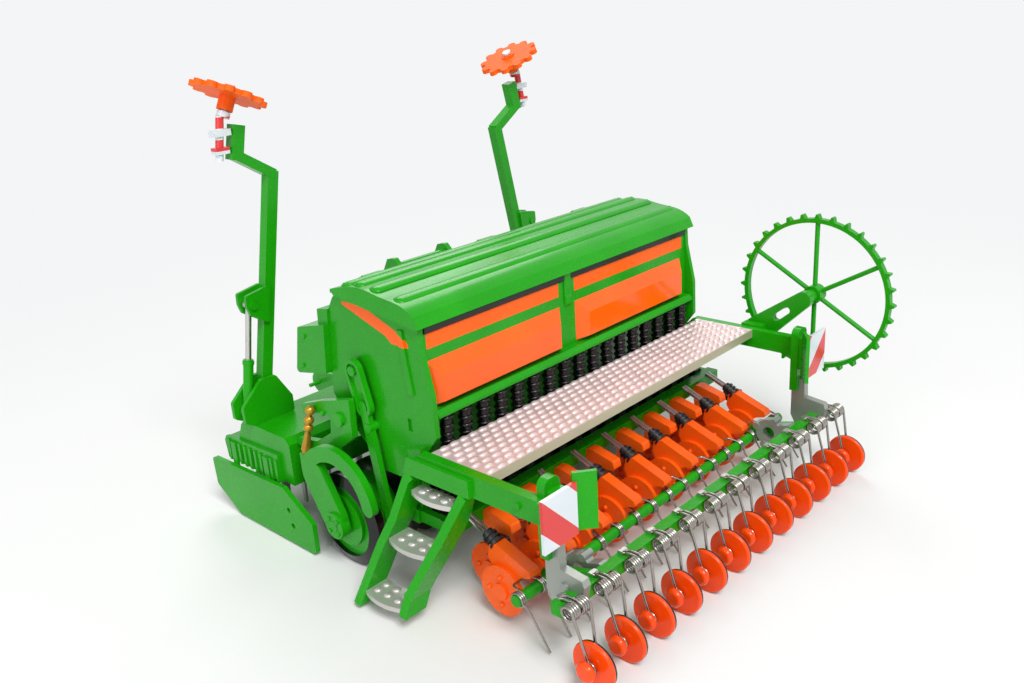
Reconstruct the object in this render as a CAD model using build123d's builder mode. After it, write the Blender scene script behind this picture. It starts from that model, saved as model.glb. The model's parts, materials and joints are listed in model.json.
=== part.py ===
from build123d import *
import math
import os

os.makedirs("parts", exist_ok=True)

# A die-cast model, 1:32, of a three-metre mounted seed drill on a power harrow.
# Millimetres. X to the machine's right, Y the way it travels, Z up from the floor.

# --- Sizes that drive the rest -------------------------------------------------
row_pitch = 7.8125          # 250 mm between roller discs at 1:32
rows = 12
row_xs = [(i - (rows - 1) / 2) * row_pitch for i in range(rows)]
coulter_pitch = 9.5
coulters = 9
rear_xs = [(i - (coulters - 1) / 2) * coulter_pitch for i in range(coulters)]
front_xs = [(a + b) / 2 for a, b in zip(rear_xs, rear_xs[1:])]   # half a pitch apart
slip = 0.15                 # side clearance between pieces that move past each other
fit = 0.05                  # radial clearance of a running pin

# Soil trough of the power harrow
trough_half = 45.0
trough_rear, trough_front = 21.3, 44.6
trough_floor, trough_top = 12.0, 21.8
rotor_count = 10
rotor_pitch = 9.3
rotor_y = 33.0
tine_tip = 0.5

# Side plates
side_gap, side_thick = 1.2, 1.0
side_inner = trough_half + side_gap
side_outer = side_inner + side_thick
side_foot = 0.4

# Packer roller
roller_y, roller_radius = 7.0, 9.1
roller_drum = 5.0
roller_disc_radius = 7.1
roller_half = 44.4
roller_arm_inner, roller_arm_outer = 45.1, 46.5
roller_pin = 1.0

# Hopper
hopper_half = 38.6
hopper_wall, cheek_thick = 0.9, 1.0
cheek_outer = hopper_half + cheek_thick
rim_rear, rim_rear_z = -13.2, 49.4
rim_front, rim_front_z = 7.0, 52.3
lid_overhang, lid_thick = 0.8, 0.7
lid_half = cheek_outer + lid_overhang
hinge_radius, hinge_pin = 0.8, 0.4
hinge_inset = 8.6
hinge_end = hopper_half - hinge_inset
hinge_xs = (-hinge_end, 0.0, hinge_end)
hinge_length = 4.0

# Loading board and what carries it
board_front, board_rear = -15.4, -28.9
board_top, board_thick = 28.2, 1.8
bar_inner, bar_outer = 40.9, 42.7
bar_top, bar_deep = 28.2, 4.0
bar_rear = -41.0
bar_front = -12.2

# Coulter bar frame
rail_half = 42.0
rail_size = 2.6
rail_ys = (-10.5, -18.5)
rail_z = 15.3

# Harrow and the row of roller discs
tube_half = 42.9
front_tube_y, front_tube_z, front_tube_radius = -34.6, 8.3, 1.0
rear_tube_half = 44.4
rear_tube_y, rear_tube_z, rear_tube_size = -44.6, 12.0, 2.2
tine_pitch, tines, tine_shift = 5.2, 17, -0.5
disc_radius, disc_half = 3.96, 0.45
disc_y = -50.3
neck_radius = 0.7
coil_radius, coil_half, coil_z = 1.45, 2.3, 12.6
leg_radius = 0.5

# Spur wheel
spur_x, spur_y, spur_z = 50.79, -38.0, 35.1
spur_radius = 16.4
spur_lugs = 32
spur_lug = 0.9
spur_pin = 0.8
swing_y, swing_z = -27.6, 26.6
swing_gap, swing_thick = 2.4, 1.6

# Row markers; the left one, the right one is its mirror image
marker_y = 35.0
fold_x, fold_z = -40.2, 28.0
elbow_x, elbow_z = -31.4, 70.2
barrel_x, barrel_z = -44.6, 24.0
eye_x, eye_z = -40.7, 45.6
arm_width = 2.3
cheek_gap = 0.3
cheek_thick = 0.9
barrel_radius, piston_radius = 1.0, 0.6
barrel_length, piston_reach = 10.9, 10.5     # from the lower pin to the barrel's mouth and the ram's end
marker_pin = 0.5
marker_disc_x, marker_disc_z, marker_disc_radius = -37.8, 85.2, 6.7
marker_tilt = 26.0


def save(part, name):
    part.label = name
    export_step(part, f"parts/{name}.step")


def slab(outline, x_from, x_to, round_by=0.0):
    """A plate with an outline in Y and Z, between two stations along X."""
    with BuildPart() as piece:
        with BuildSketch(Plane.YZ.offset(x_from)) as face:
            with BuildLine():
                Polyline(*outline, close=True)
            make_face()
            if round_by:
                fillet(face.vertices(), round_by)
        extrude(amount=x_to - x_from)
    return piece.part


def web(outline, y_from, y_to, round_by=0.0):
    """A plate with an outline in X and Z, between two stations along Y."""
    with BuildPart() as piece:
        with BuildSketch(Plane.XZ.offset(-y_to)) as face:
            with BuildLine():
                Polyline(*outline, close=True)
            make_face()
            if round_by:
                fillet(face.vertices(), round_by)
        extrude(amount=y_to - y_from)
    return piece.part


def taper(start, start_radius, end, end_radius, x_from, x_to):
    """A plate with round ends about two points in Y and Z, from one X to another."""
    with BuildPart() as piece:
        with BuildSketch(Plane.YZ.offset(x_from)):
            with Locations(start):
                Circle(start_radius)
            with Locations(end):
                Circle(end_radius)
            make_hull()
        extrude(amount=x_to - x_from)
    return piece.part


def button(start, end, radius, bevel):
    """A short rod whose first end, the one further left, is rounded over."""
    with BuildPart() as made:
        add(rod(start, end, radius))
        fillet(made.edges().filter_by(GeomType.CIRCLE).sort_by(Axis.X)[0], bevel)
    return made.part


def link(start, end, radius, x_from, x_to):
    return taper(start, radius, end, radius, x_from, x_to)


def rod(start, end, radius):
    """A round bar between two points."""
    start, end = Vector(*start), Vector(*end)
    with BuildPart() as piece:
        with BuildSketch(Plane(origin=start, z_dir=end - start)):
            Circle(radius)
        extrude(amount=(end - start).length)
    return piece.part


def block(x_from, x_to, y_from, y_to, z_from, z_to):
    with BuildPart(Plane.XY.offset(z_from)) as piece:
        with Locations(((x_from + x_to) / 2, (y_from + y_to) / 2)):
            Box(x_to - x_from, y_to - y_from, z_to - z_from,
                align=(Align.CENTER, Align.CENTER, Align.MIN))
    return piece.part


def strip(points, width):
    """The outline of a bar of even width along a line of points, mitred at its bends."""
    def offset(sign):
        out = []
        for i, (u, v) in enumerate(points):
            before = points[i - 1] if i else None
            after = points[i + 1] if i + 1 < len(points) else None
            normals = []
            for p, q in ((before, (u, v)), ((u, v), after)):
                if p and q:
                    du, dv = q[0] - p[0], q[1] - p[1]
                    size = math.hypot(du, dv)
                    normals.append((-dv / size, du / size))
            nu = sum(n[0] for n in normals)
            nv = sum(n[1] for n in normals)
            dot = nu * normals[0][0] + nv * normals[0][1]
            out.append((u + sign * nu * width / 2 / dot, v + sign * nv * width / 2 / dot))
        return out
    return offset(1) + offset(-1)[::-1]


# --- Power harrow ----------------------------------------------------------------
trough_outline = [(trough_rear, trough_floor), (trough_front, trough_floor),
                  (trough_front, 15.8), (43.8, 16.7), (39.6, 17.2), (38.0, 20.7),
                  (36.8, trough_top), (22.5, trough_top), (trough_rear, 20.6)]
trough_body = slab(trough_outline, -trough_half, trough_half)
lip_outer = trough_half + 0.7
end_lip = slab([(25.0, trough_floor), (43.8, trough_floor), (44.4, 15.8), (43.6, 17.0),
                (25.0, 17.8)], -lip_outer, -trough_half)
strap_ys, strap_wide = (29.0, 40.6), 1.6
with BuildPart() as trough_end:
    add(end_lip)
    for y in (25.6, 27.4, 31.0, 32.9, 34.8, 36.7, 38.6, 42.4):
        add(block(-side_inner + slip, -lip_outer, y - 0.35, y + 0.35, trough_floor, 16.6))
    with Locations(*[(-lip_outer, y, 14.6) for y in (33.85, 37.65)]):
        Box(1.0, 1.0, 3.2, mode=Mode.SUBTRACT)
with BuildPart() as trough:
    add(trough_body)
    add(trough_end.part)
    mirror(trough_end.part, about=Plane.YZ)
save(trough.part, "cultivator_trough")

# Each rotor is a hub with two blades that trail; neighbours stand a quarter turn apart.
with BuildPart() as rotors:
    for i in range(rotor_count):
        x = (i - (rotor_count - 1) / 2) * rotor_pitch
        with Locations((x, rotor_y, 9.4)):
            Cylinder(2.2, trough_floor - 9.4, align=(Align.CENTER, Align.CENTER, Align.MIN))
            Cylinder(4.0, 1.2, align=(Align.CENTER, Align.CENTER, Align.MIN))
        for side in (-1, 1):
            dx, dy = (3.2 * side, 0) if i % 2 else (0, 3.2 * side)
            wide, deep = (0.7, 1.6) if i % 2 else (1.6, 0.7)
            with BuildSketch(Plane.XY.offset(9.4)):
                with Locations((x + dx, rotor_y + dy)):
                    Rectangle(wide, deep)
            with BuildSketch(Plane.XY.offset(tine_tip)):
                with Locations((x + dx, rotor_y + dy)):
                    Rectangle(wide * 0.6, deep * 0.6)
            loft()
save(rotors.part, "tine_rotors")

side_outline = [(48.2, 11.4), (22.4, 12.2), (13.9, 7.0), (13.9, side_foot),
                (40.4, side_foot), (47.9, 5.1)]
side_plate = slab(side_outline, -side_outer, -side_inner, 0.8)
strap_low, strap_high = 9.4, 16.4
with BuildPart() as side_plates:
    add(side_plate)
    for y in strap_ys:
        add(block(-side_inner, -lip_outer, y - strap_wide / 2, y + strap_wide / 2,
                  strap_low, strap_high))
    with Locations(*[(-side_outer, y, z) for y, z in ((21.4, 7.6), (20.6, 4.4))]):
        Cylinder(0.55, 4, rotation=(0, 90, 0), mode=Mode.SUBTRACT)
    mirror(about=Plane.YZ)
save(side_plates.part, "side_plates")

gear_half, gear_rear, gear_front, gear_top = 6.2, 24.5, 35.5, 30.4
pto_radius, pto_z, pto_end = 0.55, 26.2, 41.0
with BuildPart() as gearbox:
    add(slab([(gear_rear, trough_top), (gear_front, trough_top), (gear_front, 28.6),
              (33.2, gear_top), (27.0, gear_top), (gear_rear, 28.0)], -gear_half, gear_half))
    add(rod((0, gear_front, pto_z), (0, gear_front + 2.4, pto_z), 2.0))
    add(rod((0, gear_front + 2.4, pto_z), (0, pto_end, pto_z), pto_radius))
save(gearbox.part, "gearbox")

# Three-point headstock: category 2 spacing at 1:32
link_half = 13.3
link_y, link_z, link_pin, ear_round = 52.8, 16.4, 0.45, 2.5
top_link_y, top_link_z, top_link_hole = 50.0, 36.0, 0.42
tower_inner, tower_outer = 6.8, 8.0
tower_outline = [(24.0, trough_top), (28.0, 46.4), (29.4, 47.8), (31.6, 47.4), (36.2, 39.4),
                 (47.6, 38.2), (48.6, 36.6), (47.6, 34.4), (38.6, 30.6), (36.6, trough_top)]
tower_window = [(27.2, 25.0), (29.9, 41.8), (34.2, 34.8), (33.6, 25.0)]
with BuildPart() as headstock:
    for side in (-1, 1):
        low, high = sorted((side * tower_inner, side * tower_outer))
        tower = slab(tower_outline, low, high, 0.5)
        window = slab(tower_window, low, high, 0.5)
        add(tower)
        add(window, mode=Mode.SUBTRACT)
        add(slab(strip([(27.6, 43.0), (10.9, 39.6)], 1.6), low, high))
        for x in (side * (link_half - 1.5), side * (link_half + 1.5)):
            ear = slab([(trough_front, 12.2), (link_y - 1, link_z - ear_round),
                        (link_y - 1, link_z + ear_round), (trough_front, 20.0)],
                       x - 0.5, x + 0.5)
            add(ear)
            with Locations((x, link_y, link_z)):
                Cylinder(ear_round, 1.0, rotation=(0, 90, 0))
        add(rod((side * (link_half - 2.0), link_y, link_z),
                (side * (link_half + 4.6), link_y, link_z), link_pin))
    add(rod((-tower_outer, 46.4, top_link_z), (tower_outer, 46.4, top_link_z), 1.5))
    add(rod((-tower_outer, 29.8, 45.4), (tower_outer, 29.8, 45.4), 1.1))
    for x in (-1.6, 1.6):
        add(slab([(46.4, top_link_z - 1.4), (top_link_y, top_link_z - 1.4),
                  (top_link_y, top_link_z + 1.4), (46.4, top_link_z + 1.4)], x - 0.5, x + 0.5))
        with Locations((x, top_link_y, top_link_z)):
            Cylinder(1.4, 1.0, rotation=(0, 90, 0))
    with Locations((0, top_link_y, top_link_z)):
        Cylinder(top_link_hole, 8, rotation=(0, 90, 0), mode=Mode.SUBTRACT)
    # a beam across the trough's front joins the four lower ears
    add(block(-link_half - 2.0, link_half + 2.0, trough_front, trough_front + 1.6, 12.2, 18.4))
    for side in (-1, 1):
        add(slab(strip([(trough_front + 0.8, 17.6), (46.2, 34.6)], 1.8),
                 side * 7.4 - 0.6, side * 7.4 + 0.6))
save(headstock.part, "headstock")

# --- Packer roller -----------------------------------------------------------------
with BuildPart() as roller_drum_part:
    with BuildSketch(Plane.YZ.offset(-roller_half)):
        with Locations((roller_y, roller_radius)):
            Circle(roller_drum)
    extrude(amount=2 * roller_half)
    for x in row_xs:
        with BuildSketch(Plane.YZ.offset(x - 0.7)):
            with Locations((roller_y, roller_radius)):
                Circle(roller_disc_radius)
        extrude(amount=1.4)
    add(rod((-roller_arm_outer - 0.6, roller_y, roller_radius),
            (roller_arm_outer + 0.6, roller_y, roller_radius), roller_pin))
save(roller_drum_part.part, "roller_drum")

with BuildPart() as roller_rings:
    for x in row_xs:
        with BuildSketch(Plane.XY.offset(roller_radius)):
            with BuildLine():
                Polyline((x - 1.6, roller_y + roller_disc_radius),
                         (x + 1.6, roller_y + roller_disc_radius),
                         (x + 0.8, roller_y + roller_radius),
                         (x - 0.8, roller_y + roller_radius), close=True)
            make_face()
        revolve(axis=Axis((0, roller_y, roller_radius), (1, 0, 0)))
save(roller_rings.part, "roller_rings")

beam_low, beam_high, beam_rear, beam_front = 16.6, 20.2, 14.2, 17.8
hook_wide, leg_wide, hub_radius = 3.0, 6.6, 2.6
with BuildPart() as roller_frame:
    with BuildSketch(Plane.YZ.offset(-roller_arm_outer)):
        with BuildLine():
            hook = ThreePointArc((14.0, 19.0), (5.4, 23.5), (-3.2, 15.8))
        SlotArc(hook, hook_wide)
    extrude(amount=roller_arm_outer - roller_arm_inner)
    add(link((12.2, 17.6), (roller_y + 1.0, roller_radius + 1.4), leg_wide / 2,
             -roller_arm_outer, -roller_arm_inner))
    add(rod((-roller_arm_outer - 0.5, roller_y, roller_radius),
            (-roller_arm_inner, roller_y, roller_radius), hub_radius))
    for turn in range(45, 405, 90):
        y = roller_y + 1.75 * math.cos(math.radians(turn))
        z = roller_radius + 1.75 * math.sin(math.radians(turn))
        add(rod((-roller_arm_outer - 0.8, y, z), (-roller_arm_outer - 0.5, y, z), 0.4))
    with Locations((-roller_arm_outer, roller_y, roller_radius)):
        Cylinder(roller_pin + fit, 6, rotation=(0, 90, 0), mode=Mode.SUBTRACT)
    mirror(about=Plane.YZ)
    add(block(-roller_arm_inner, roller_arm_inner, beam_rear, beam_front, beam_low, beam_high))
    for x in (-30.0, -10.0, 10.0, 30.0):
        add(block(x - 0.8, x + 0.8, beam_front, trough_rear, beam_low, beam_high))
save(roller_frame.part, "roller_frame")

# Screw crank of the roller's depth stop, on the left
crank_x, crank_foot, crank_top = -44.0, (17.0, 20.9), (13.9, 29.6)
crank_run = Vector(0, crank_top[0] - crank_foot[0], crank_top[1] - crank_foot[1])
crank_plane = Plane(origin=(crank_x, *crank_foot), x_dir=(1, 0, 0), z_dir=crank_run)
with BuildPart() as depth_crank:
    with Locations((crank_x, crank_foot[0], beam_high)):
        Cylinder(0.9, 0.9, align=(Align.CENTER, Align.CENTER, Align.MIN))
    with Locations(crank_plane):
        Cone(1.0, 0.5, 4.4, align=(Align.CENTER, Align.CENTER, Align.MIN))
        Cylinder(0.45, crank_run.length, align=(Align.CENTER, Align.CENTER, Align.MIN))
        with Locations(*[(0, 0, d) for d in (5.2, 7.0, crank_run.length)]):
            Sphere(0.95)
save(depth_crank.part, "depth_crank")

# --- Hopper ------------------------------------------------------------------------
body_outline = [(rim_rear, rim_rear_z), (rim_rear, 34.4), (-4.6, 21.2), (-1.2, 20.6),
                (9.2, 29.6), (11.4, 32.4), (9.6, 48.6), (8.2, 50.9), (rim_front, rim_front_z)]
cheek_outline = [(rim_rear - 0.2, rim_rear_z), (-13.6, 45.6), (-15.4, 37.6), (-15.5, 30.2),
                 (-9.6, 22.6), (-5.0, 20.0), (-1.0, 20.0), (9.8, 29.0), (12.0, 32.2),
                 (10.1, 48.8), (8.6, 51.1), (rim_front, rim_front_z)]
cavity_outline = [(rim_rear + hopper_wall, 60.0), (rim_rear + hopper_wall, 34.8),
                  (-4.2, 22.4), (-1.4, 21.8), (8.6, 30.2), (10.4, 32.8), (8.7, 48.4),
                  (7.4, 50.5), (rim_front - hopper_wall, 51.9), (rim_front - hopper_wall, 60.0)]
cheek_rib = 0.35
with BuildPart() as hopper:
    add(slab(body_outline, -hopper_half, hopper_half))
    for side in (-1, 1):
        low, high = sorted((side * hopper_half, side * cheek_outer))
        cheek = slab(cheek_outline, low, high)
        add(cheek)
        low, high = sorted((side * cheek_outer, side * (cheek_outer + cheek_rib)))
        add(slab(strip([(-9.1, 48.3), (-9.6, 43.1), (-10.5, 37.0)], 1.3), low, high))
        with Locations((side * cheek_outer, -9.1, 31.1)):
            Box(0.8, 1.0, 2.4, mode=Mode.SUBTRACT)
    cavity = slab(cavity_outline, -hopper_half + hopper_wall, hopper_half - hopper_wall)
    add(cavity, mode=Mode.SUBTRACT)
save(hopper.part, "hopper")

# The lid turns on knuckles at its front edge; a pin held by two lugs runs through each.
hinge_y, hinge_z = 9.2, 52.2
lid_line = [(7.9, 52.9), (3.2, 54.0), (-1.0, 54.3), (-5.6, 53.6), (-10.6, 52.9), (-13.5, 51.4)]
flap_outer, flap_inner = (-14.4, 49.4), (-13.7, 49.2)
lid_ridges = (4.8, 1.2, -3.0, -8.9)
with BuildPart() as lid:
    with BuildSketch(Plane.YZ.offset(-lid_half)):
        with BuildLine():
            top = Spline(*lid_line)
            flap = Line(top @ 1, flap_outer)
            foot = Line(flap_outer, flap_inner)
            inside = Line(flap_inner, (-13.0, 51.0))
            under = Spline(inside @ 1, *[(y, z - lid_thick) for y, z in lid_line[-2::-1]])
            Line(under @ 1, top @ 0)
        make_face()
    extrude(amount=2 * lid_half)
    for side in (-1, 1):
        low, high = sorted((side * (cheek_outer + 0.1), side * lid_half))
        add(slab([(7.8, 52.6), (3.2, 53.7), (-1.0, 54.0), (-5.6, 53.3), (-10.6, 52.6),
                  (-13.4, 51.2), flap_inner, (7.2, 51.9)], low, high))
    for y, z in zip(lid_ridges, (53.75, 54.3, 54.05, 53.15)):
        add(rod((-lid_half + 1.0, y, z), (lid_half - 1.0, y, z), 0.5))
    for x in hinge_xs:
        low, high = x - hinge_length / 2, x + hinge_length / 2
        add(slab([(7.0, 52.4), (7.0, 53.1), (hinge_y + 0.3, hinge_z + 0.75),
                  (hinge_y - 0.1, hinge_z), (hinge_y - 0.7, hinge_z + 0.3)], low, high))
        add(rod((low, hinge_y, hinge_z), (high, hinge_y, hinge_z), hinge_radius))
        with Locations((x, hinge_y, hinge_z)):
            Cylinder(hinge_pin + fit, 2 * hinge_length, rotation=(0, 90, 0), mode=Mode.SUBTRACT)
save(lid.part, "hopper_lid")

lug = 0.8
with BuildPart() as lid_hinges:
    for x in hinge_xs:
        reach = hinge_length / 2 + slip + lug
        add(rod((x - reach, hinge_y, hinge_z), (x + reach, hinge_y, hinge_z), hinge_pin))
        for side in (-1, 1):
            low, high = sorted((x + side * (reach - lug), x + side * reach))
            add(slab([(9.1, 49.5), (9.75, 49.5), (hinge_y + 0.7, hinge_z), (hinge_y, hinge_z + 0.7),
                      (hinge_y - 0.5, hinge_z - 0.4)], low, high))
save(lid_hinges.part, "lid_hinge_lugs")

# A rounded channel over a thin leg, on either cheek
strut_in, strut_out = 40.4, 41.5
channel_top, channel_foot, channel_wide = (3.1, 38.9), (1.3, 32.6), 2.1
with BuildPart() as struts:
    add(link(channel_top, channel_foot, channel_wide, -strut_out, -strut_in))
    add(link(channel_top, channel_foot, channel_wide - 0.7, -strut_out, -strut_out + 0.5),
        mode=Mode.SUBTRACT)
    add(link(channel_foot, (-2.2, 11.4), 0.95, -strut_out, -strut_in))
    for y, z in (channel_top, (0.4, 28.6)):
        add(rod((-cheek_outer, y, z), (-strut_out - 0.2, y, z), 0.9))
    mirror(about=Plane.YZ)
save(struts.part, "hopper_struts")

# Housing of the metering drive, on the front wall at the left
drive_reach, drive_wide = 1.4, 9.5
drive_outer = cheek_outer + drive_reach
drive_inner = drive_outer - drive_wide
with BuildPart() as drive_housing:
    add(slab([(8.0, 46.5), (18.7, 44.1), (21.0, 34.6), (8.0, 37.0)], -drive_outer, -drive_inner,
             0.7))
    add(slab([(8.0, 46.0), (13.4, 45.0), (13.2, 48.3), (8.0, 49.0)], -drive_outer + 1.0,
             -drive_inner - 3.0, 0.4))
    add(slab(body_outline, -hopper_half - 4, hopper_half), mode=Mode.SUBTRACT)
    add(slab(cheek_outline, -cheek_outer, -hopper_half), mode=Mode.SUBTRACT)
    add(slab(cheek_outline, -drive_outer - 1, -cheek_outer), mode=Mode.SUBTRACT)
save(drive_housing.part, "drive_housing")

carrier_outline = [(17.8, 27.6), (17.8, 29.6), (11.7, 31.7), (3.0, 34.0), (3.2, 26.4), (10.6, 20.9),
                   (13.8, beam_high), (trough_rear, beam_high), (trough_rear, 21.6), (14.4, 22.8),
                   (9.7, 25.8), (9.2, 28.9), (10.8, 29.6)]
carrier_inner, carrier_outer = 41.7, 43.0
with BuildPart() as carriers:
    add(slab(carrier_outline, -carrier_outer, -carrier_inner, 0.3))
    add(rod((-cheek_outer, 6.4, 29.4), (-carrier_outer - 0.6, 6.4, 29.4), 1.3))
    mirror(about=Plane.YZ)
save(carriers.part, "hopper_carriers")

cover_spans = ((-hopper_half + 0.2, -4.1), (0.5, hopper_half - 2.1))
cover_low, cover_high, cover_depth, hip = 35.1, 43.1, 2.0, 2.0
with BuildPart() as covers:
    for low, high in cover_spans:
        with BuildSketch(Plane.XZ.offset(-rim_rear)):
            with Locations(((low + high) / 2, (cover_low + cover_high) / 2)):
                Rectangle(high - low, cover_high - cover_low)
        with BuildSketch(Plane.XZ.offset(-rim_rear + cover_depth)):
            with Locations(((low + high) / 2, (cover_low + cover_high) / 2 - 0.8)):
                Rectangle(high - low - 2 * hip, cover_high - cover_low - 3.2)
        loft()
save(covers.part, "metering_covers")

channel_low, channel_high = 33.4, 34.7
with BuildPart() as channel:
    add(slab([(rim_rear, channel_low), (rim_rear, channel_high), (rim_rear - 1.6, channel_high),
              (rim_rear - 2.2, channel_low + 0.5), (rim_rear - 2.2, channel_low)],
             -hopper_half + 0.2, hopper_half - 0.2))
save(channel.part, "hose_channel")

# --- Loading board and the frame it rests on ---------------------------------------
with BuildPart() as board:
    add(block(-bar_inner, bar_inner, board_rear, board_front, board_top - board_thick, board_top))
save(board.part, "loading_board")

# The ladder leans out; its rails are cut from a band that follows the lean.
lean, lean_foot, rail_deep, rail_thick = 0.4, -53.2, 4.6, 1.8
rail_top, rail_end = bar_top - bar_deep, 0.9
front_line = [(-12.4, rail_top), (-11.5, 23.2), (-10.2, 16.4), (-8.5, 11.8), (-5.6, rail_end)]
rear_line = [(-25.0, rail_top), (-24.6, 23.4), (-22.0, 16.8), (-17.3, 6.0), (-17.0, 2.7)]
tread_levels = (22.0, 13.3, 3.8)
tread_thick, tread_bulge = 0.9, 1.0


def ladder_band():
    return web([(lean_foot + lean * rail_end, rail_end),
                (lean_foot + lean * rail_end + rail_deep, rail_end),
                (lean_foot + rail_deep + lean * 18.0, 18.0), (-41.2, 19.4), (-41.2, rail_top),
                (lean_foot + lean * rail_top, rail_top)], -40, 0)


rails = []
for line in (front_line, rear_line):
    with BuildPart() as ladder_rail:
        add(slab(strip(line, rail_thick), -56, -38))
        add(ladder_band(), mode=Mode.INTERSECT)
    rails.append(ladder_rail.part)

bar = slab([(bar_rear, bar_top - bar_deep), (bar_rear, bar_top), (bar_front - 1.8, bar_top),
            (bar_front, bar_top - 1.8), (bar_front, bar_top - bar_deep)],
           -bar_outer, -bar_inner, 0.6)
gusset = [(-26.4, rail_top), (-26.4, bar_top - 0.8), (-11.8, bar_top - 0.8), (-10.6, rail_top)]
with BuildPart() as step_frame:
    add(bar)
    add(slab(gusset, -bar_outer - 0.8, -bar_outer))
    for rail in rails:
        add(rail)
save(step_frame.part, "step_frame")

with BuildPart() as treads:
    for z in tread_levels:
        outer = lean_foot + lean * z + 0.2
        inner = min(outer + rail_deep - 0.2, -41.6)
        front = -4.6 - (z - rail_end) * 0.36 - 1.0
        back = front - 9.6
        with BuildSketch(Plane.XY.offset(z - tread_thick)):
            with BuildLine():
                ThreePointArc((outer, front), (outer - tread_bulge, (front + back) / 2),
                              (outer, back))
                Polyline((outer, back), (inner, back), (inner, front), (outer, front))
            make_face()
        extrude(amount=tread_thick)
    for rail in rails:
        add(rail, mode=Mode.SUBTRACT)
save(treads.part, "step_treads")

with BuildPart() as right_bar:
    add(bar)
    mirror(about=Plane.YZ, mode=Mode.REPLACE)
save(right_bar.part, "board_bracket_right")

# --- Coulters ------------------------------------------------------------------------
hanger = bar_inner - cheek_outer
rail_bottom, rail_roof = rail_z - rail_size / 2, rail_z + rail_size / 2
rail_back = rail_ys[1] - rail_size / 2
with BuildPart() as coulter_rails:
    for y in rail_ys:
        add(block(-rail_half, rail_half, y - rail_size / 2, y + rail_size / 2,
                  rail_bottom, rail_roof))
    for side in (-1, 1):
        low, high = sorted((side * cheek_outer, side * (cheek_outer + hanger)))
        add(slab([(-11.8, rail_bottom), (-9.2, rail_bottom), (-9.2, 27.0), (-12.6, 28.0),
                  (-12.6, rail_roof + 1), (-11.8, rail_roof + 1)], low, high))
        low, high = sorted((side * (rail_half - 1.7), side * (rail_half - 0.4)))
        add(block(low, high, rail_ys[1] + 1.2, rail_ys[0] - 1.2, 14.2, 16.4))
save(coulter_rails.part, "coulter_rails")

boot_half, boot_low, boot_top = 1.1, 14.2, 17.4
all_xs = sorted(rear_xs + front_xs)
with BuildPart() as boots:
    for x in all_xs:
        add(block(x - boot_half, x + boot_half, rail_ys[1] + rail_size / 2,
                  rail_ys[0] - rail_size / 2, boot_low, boot_top))
save(boots.part, "coulter_boots")

# One hose from the channel to each boot; they spread a little on the way down.
hose_y, hose_radius = -14.0, 1.0
hose_inset = 2.88           # from the end of the hopper to the last hose
hose_spread = (hopper_half - hose_inset) / max(all_xs)
with BuildPart() as hoses:
    for x in all_xs:
        top = x * hose_spread
        with BuildLine():
            run = Bezier((top, hose_y, channel_low), (top, hose_y, 25.0), (top, hose_y, 21.0),
                         (x, hose_y, 21.0), (x, hose_y, boot_top))
        with BuildSketch(Plane(origin=run @ 0, z_dir=run % 0)):
            Circle(hose_radius)
        sweep(path=run)
save(hoses.part, "seed_hoses")

# Each coulter is a broad ridged arm with a disc on its left side.
coulter_radius, coulter_half, coulter_thick = 4.6, 1.15, 0.8
front_disc_y, front_disc_z = -21.4, 5.4
rear_disc_y, rear_disc_z = -28.6, 6.2
front_arm = [(rail_back, 13.8), (rail_back, 16.2), (-21.4, 16.2), (-26.2, 15.0), (-26.6, 13.3),
             (-23.6, 12.8), (-22.6, 9.4), (front_disc_y - 1.0, front_disc_z),
             (front_disc_y + 1.4, front_disc_z), (-20.0, 10.6)]
rear_arm = [(-25.2, 11.2), (-25.6, 13.6), (-27.2, 14.3), (-34.4, 11.6), (-34.8, 10.5), (-32.6, 9.9),
            (-30.4, 8.4), (rear_disc_y - 1.2, rear_disc_z), (rear_disc_y + 1.2, rear_disc_z),
            (-26.4, 9.2)]


def coulter_row(xs, arm, ridge, y, z):
    with BuildPart() as row:
        for x in xs:
            add(slab(arm, x - coulter_half, x + coulter_half, 0.5))
            add(link(*ridge, 0.42, x + 0.1, x + coulter_half + 0.35))
            side = x - coulter_half
            add(rod((side - coulter_thick, y, z), (side, y, z), coulter_radius))
            add(rod((side - coulter_thick - 0.5, y, z), (side - coulter_thick, y, z), 1.5))
            for turn in range(90, 450, 90):
                by = y + 2.6 * math.cos(math.radians(turn))
                bz = z + 2.6 * math.sin(math.radians(turn))
                add(rod((side - coulter_thick - 0.25, by, bz), (side - coulter_thick, by, bz), 0.4))
    return row.part


save(coulter_row(front_xs, front_arm, ((-21.8, 14.8), (-25.6, 14.0)), front_disc_y, front_disc_z),
     "coulters_front")
save(coulter_row(rear_xs, rear_arm, ((-27.2, 12.8), (-33.6, 10.9)), rear_disc_y, rear_disc_z),
     "coulters_rear")

# Twin rods from the rear rail end in a ribbed cap over each rear arm, a hose boot beside it.
rod_start, rod_end = (rail_back, 17.2), (-24.9, 14.6)
with BuildPart() as knobs:
    for x in rear_xs:
        for dx in (-0.42, 0.42):
            add(rod((x + dx, rod_start[0] + 0.3, rod_start[1] - 0.4), (x + dx, *rod_end), 0.4))
        add(rod((x, -24.2, 14.9), (x, -26.3, 13.7), 1.05))
        for share in (0.25, 0.6, 0.95):
            y, z = -24.2 - 2.1 * share, 14.9 - 1.2 * share
            add(rod((x, y, z), (x, y - 0.35, z - 0.2), 1.4))
        add(slab([(-22.8, 13.4), (-26.8, 13.8), (-27.6, 10.4), (-23.4, 10.8)],
                 x + coulter_half + 0.4, x + coulter_half + 1.5, 0.3))
        add(rod((x, -24.9, 12.2), (x + coulter_half + 0.6, -24.9, 12.2), 0.5))
        add(slab(rear_arm, x - coulter_half, x + coulter_half, 0.5), mode=Mode.SUBTRACT)
    add(block(-rail_half, rail_half, rail_back, rail_back + 4, 0, rail_roof), mode=Mode.SUBTRACT)
save(knobs.part, "coulter_rods")

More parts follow.
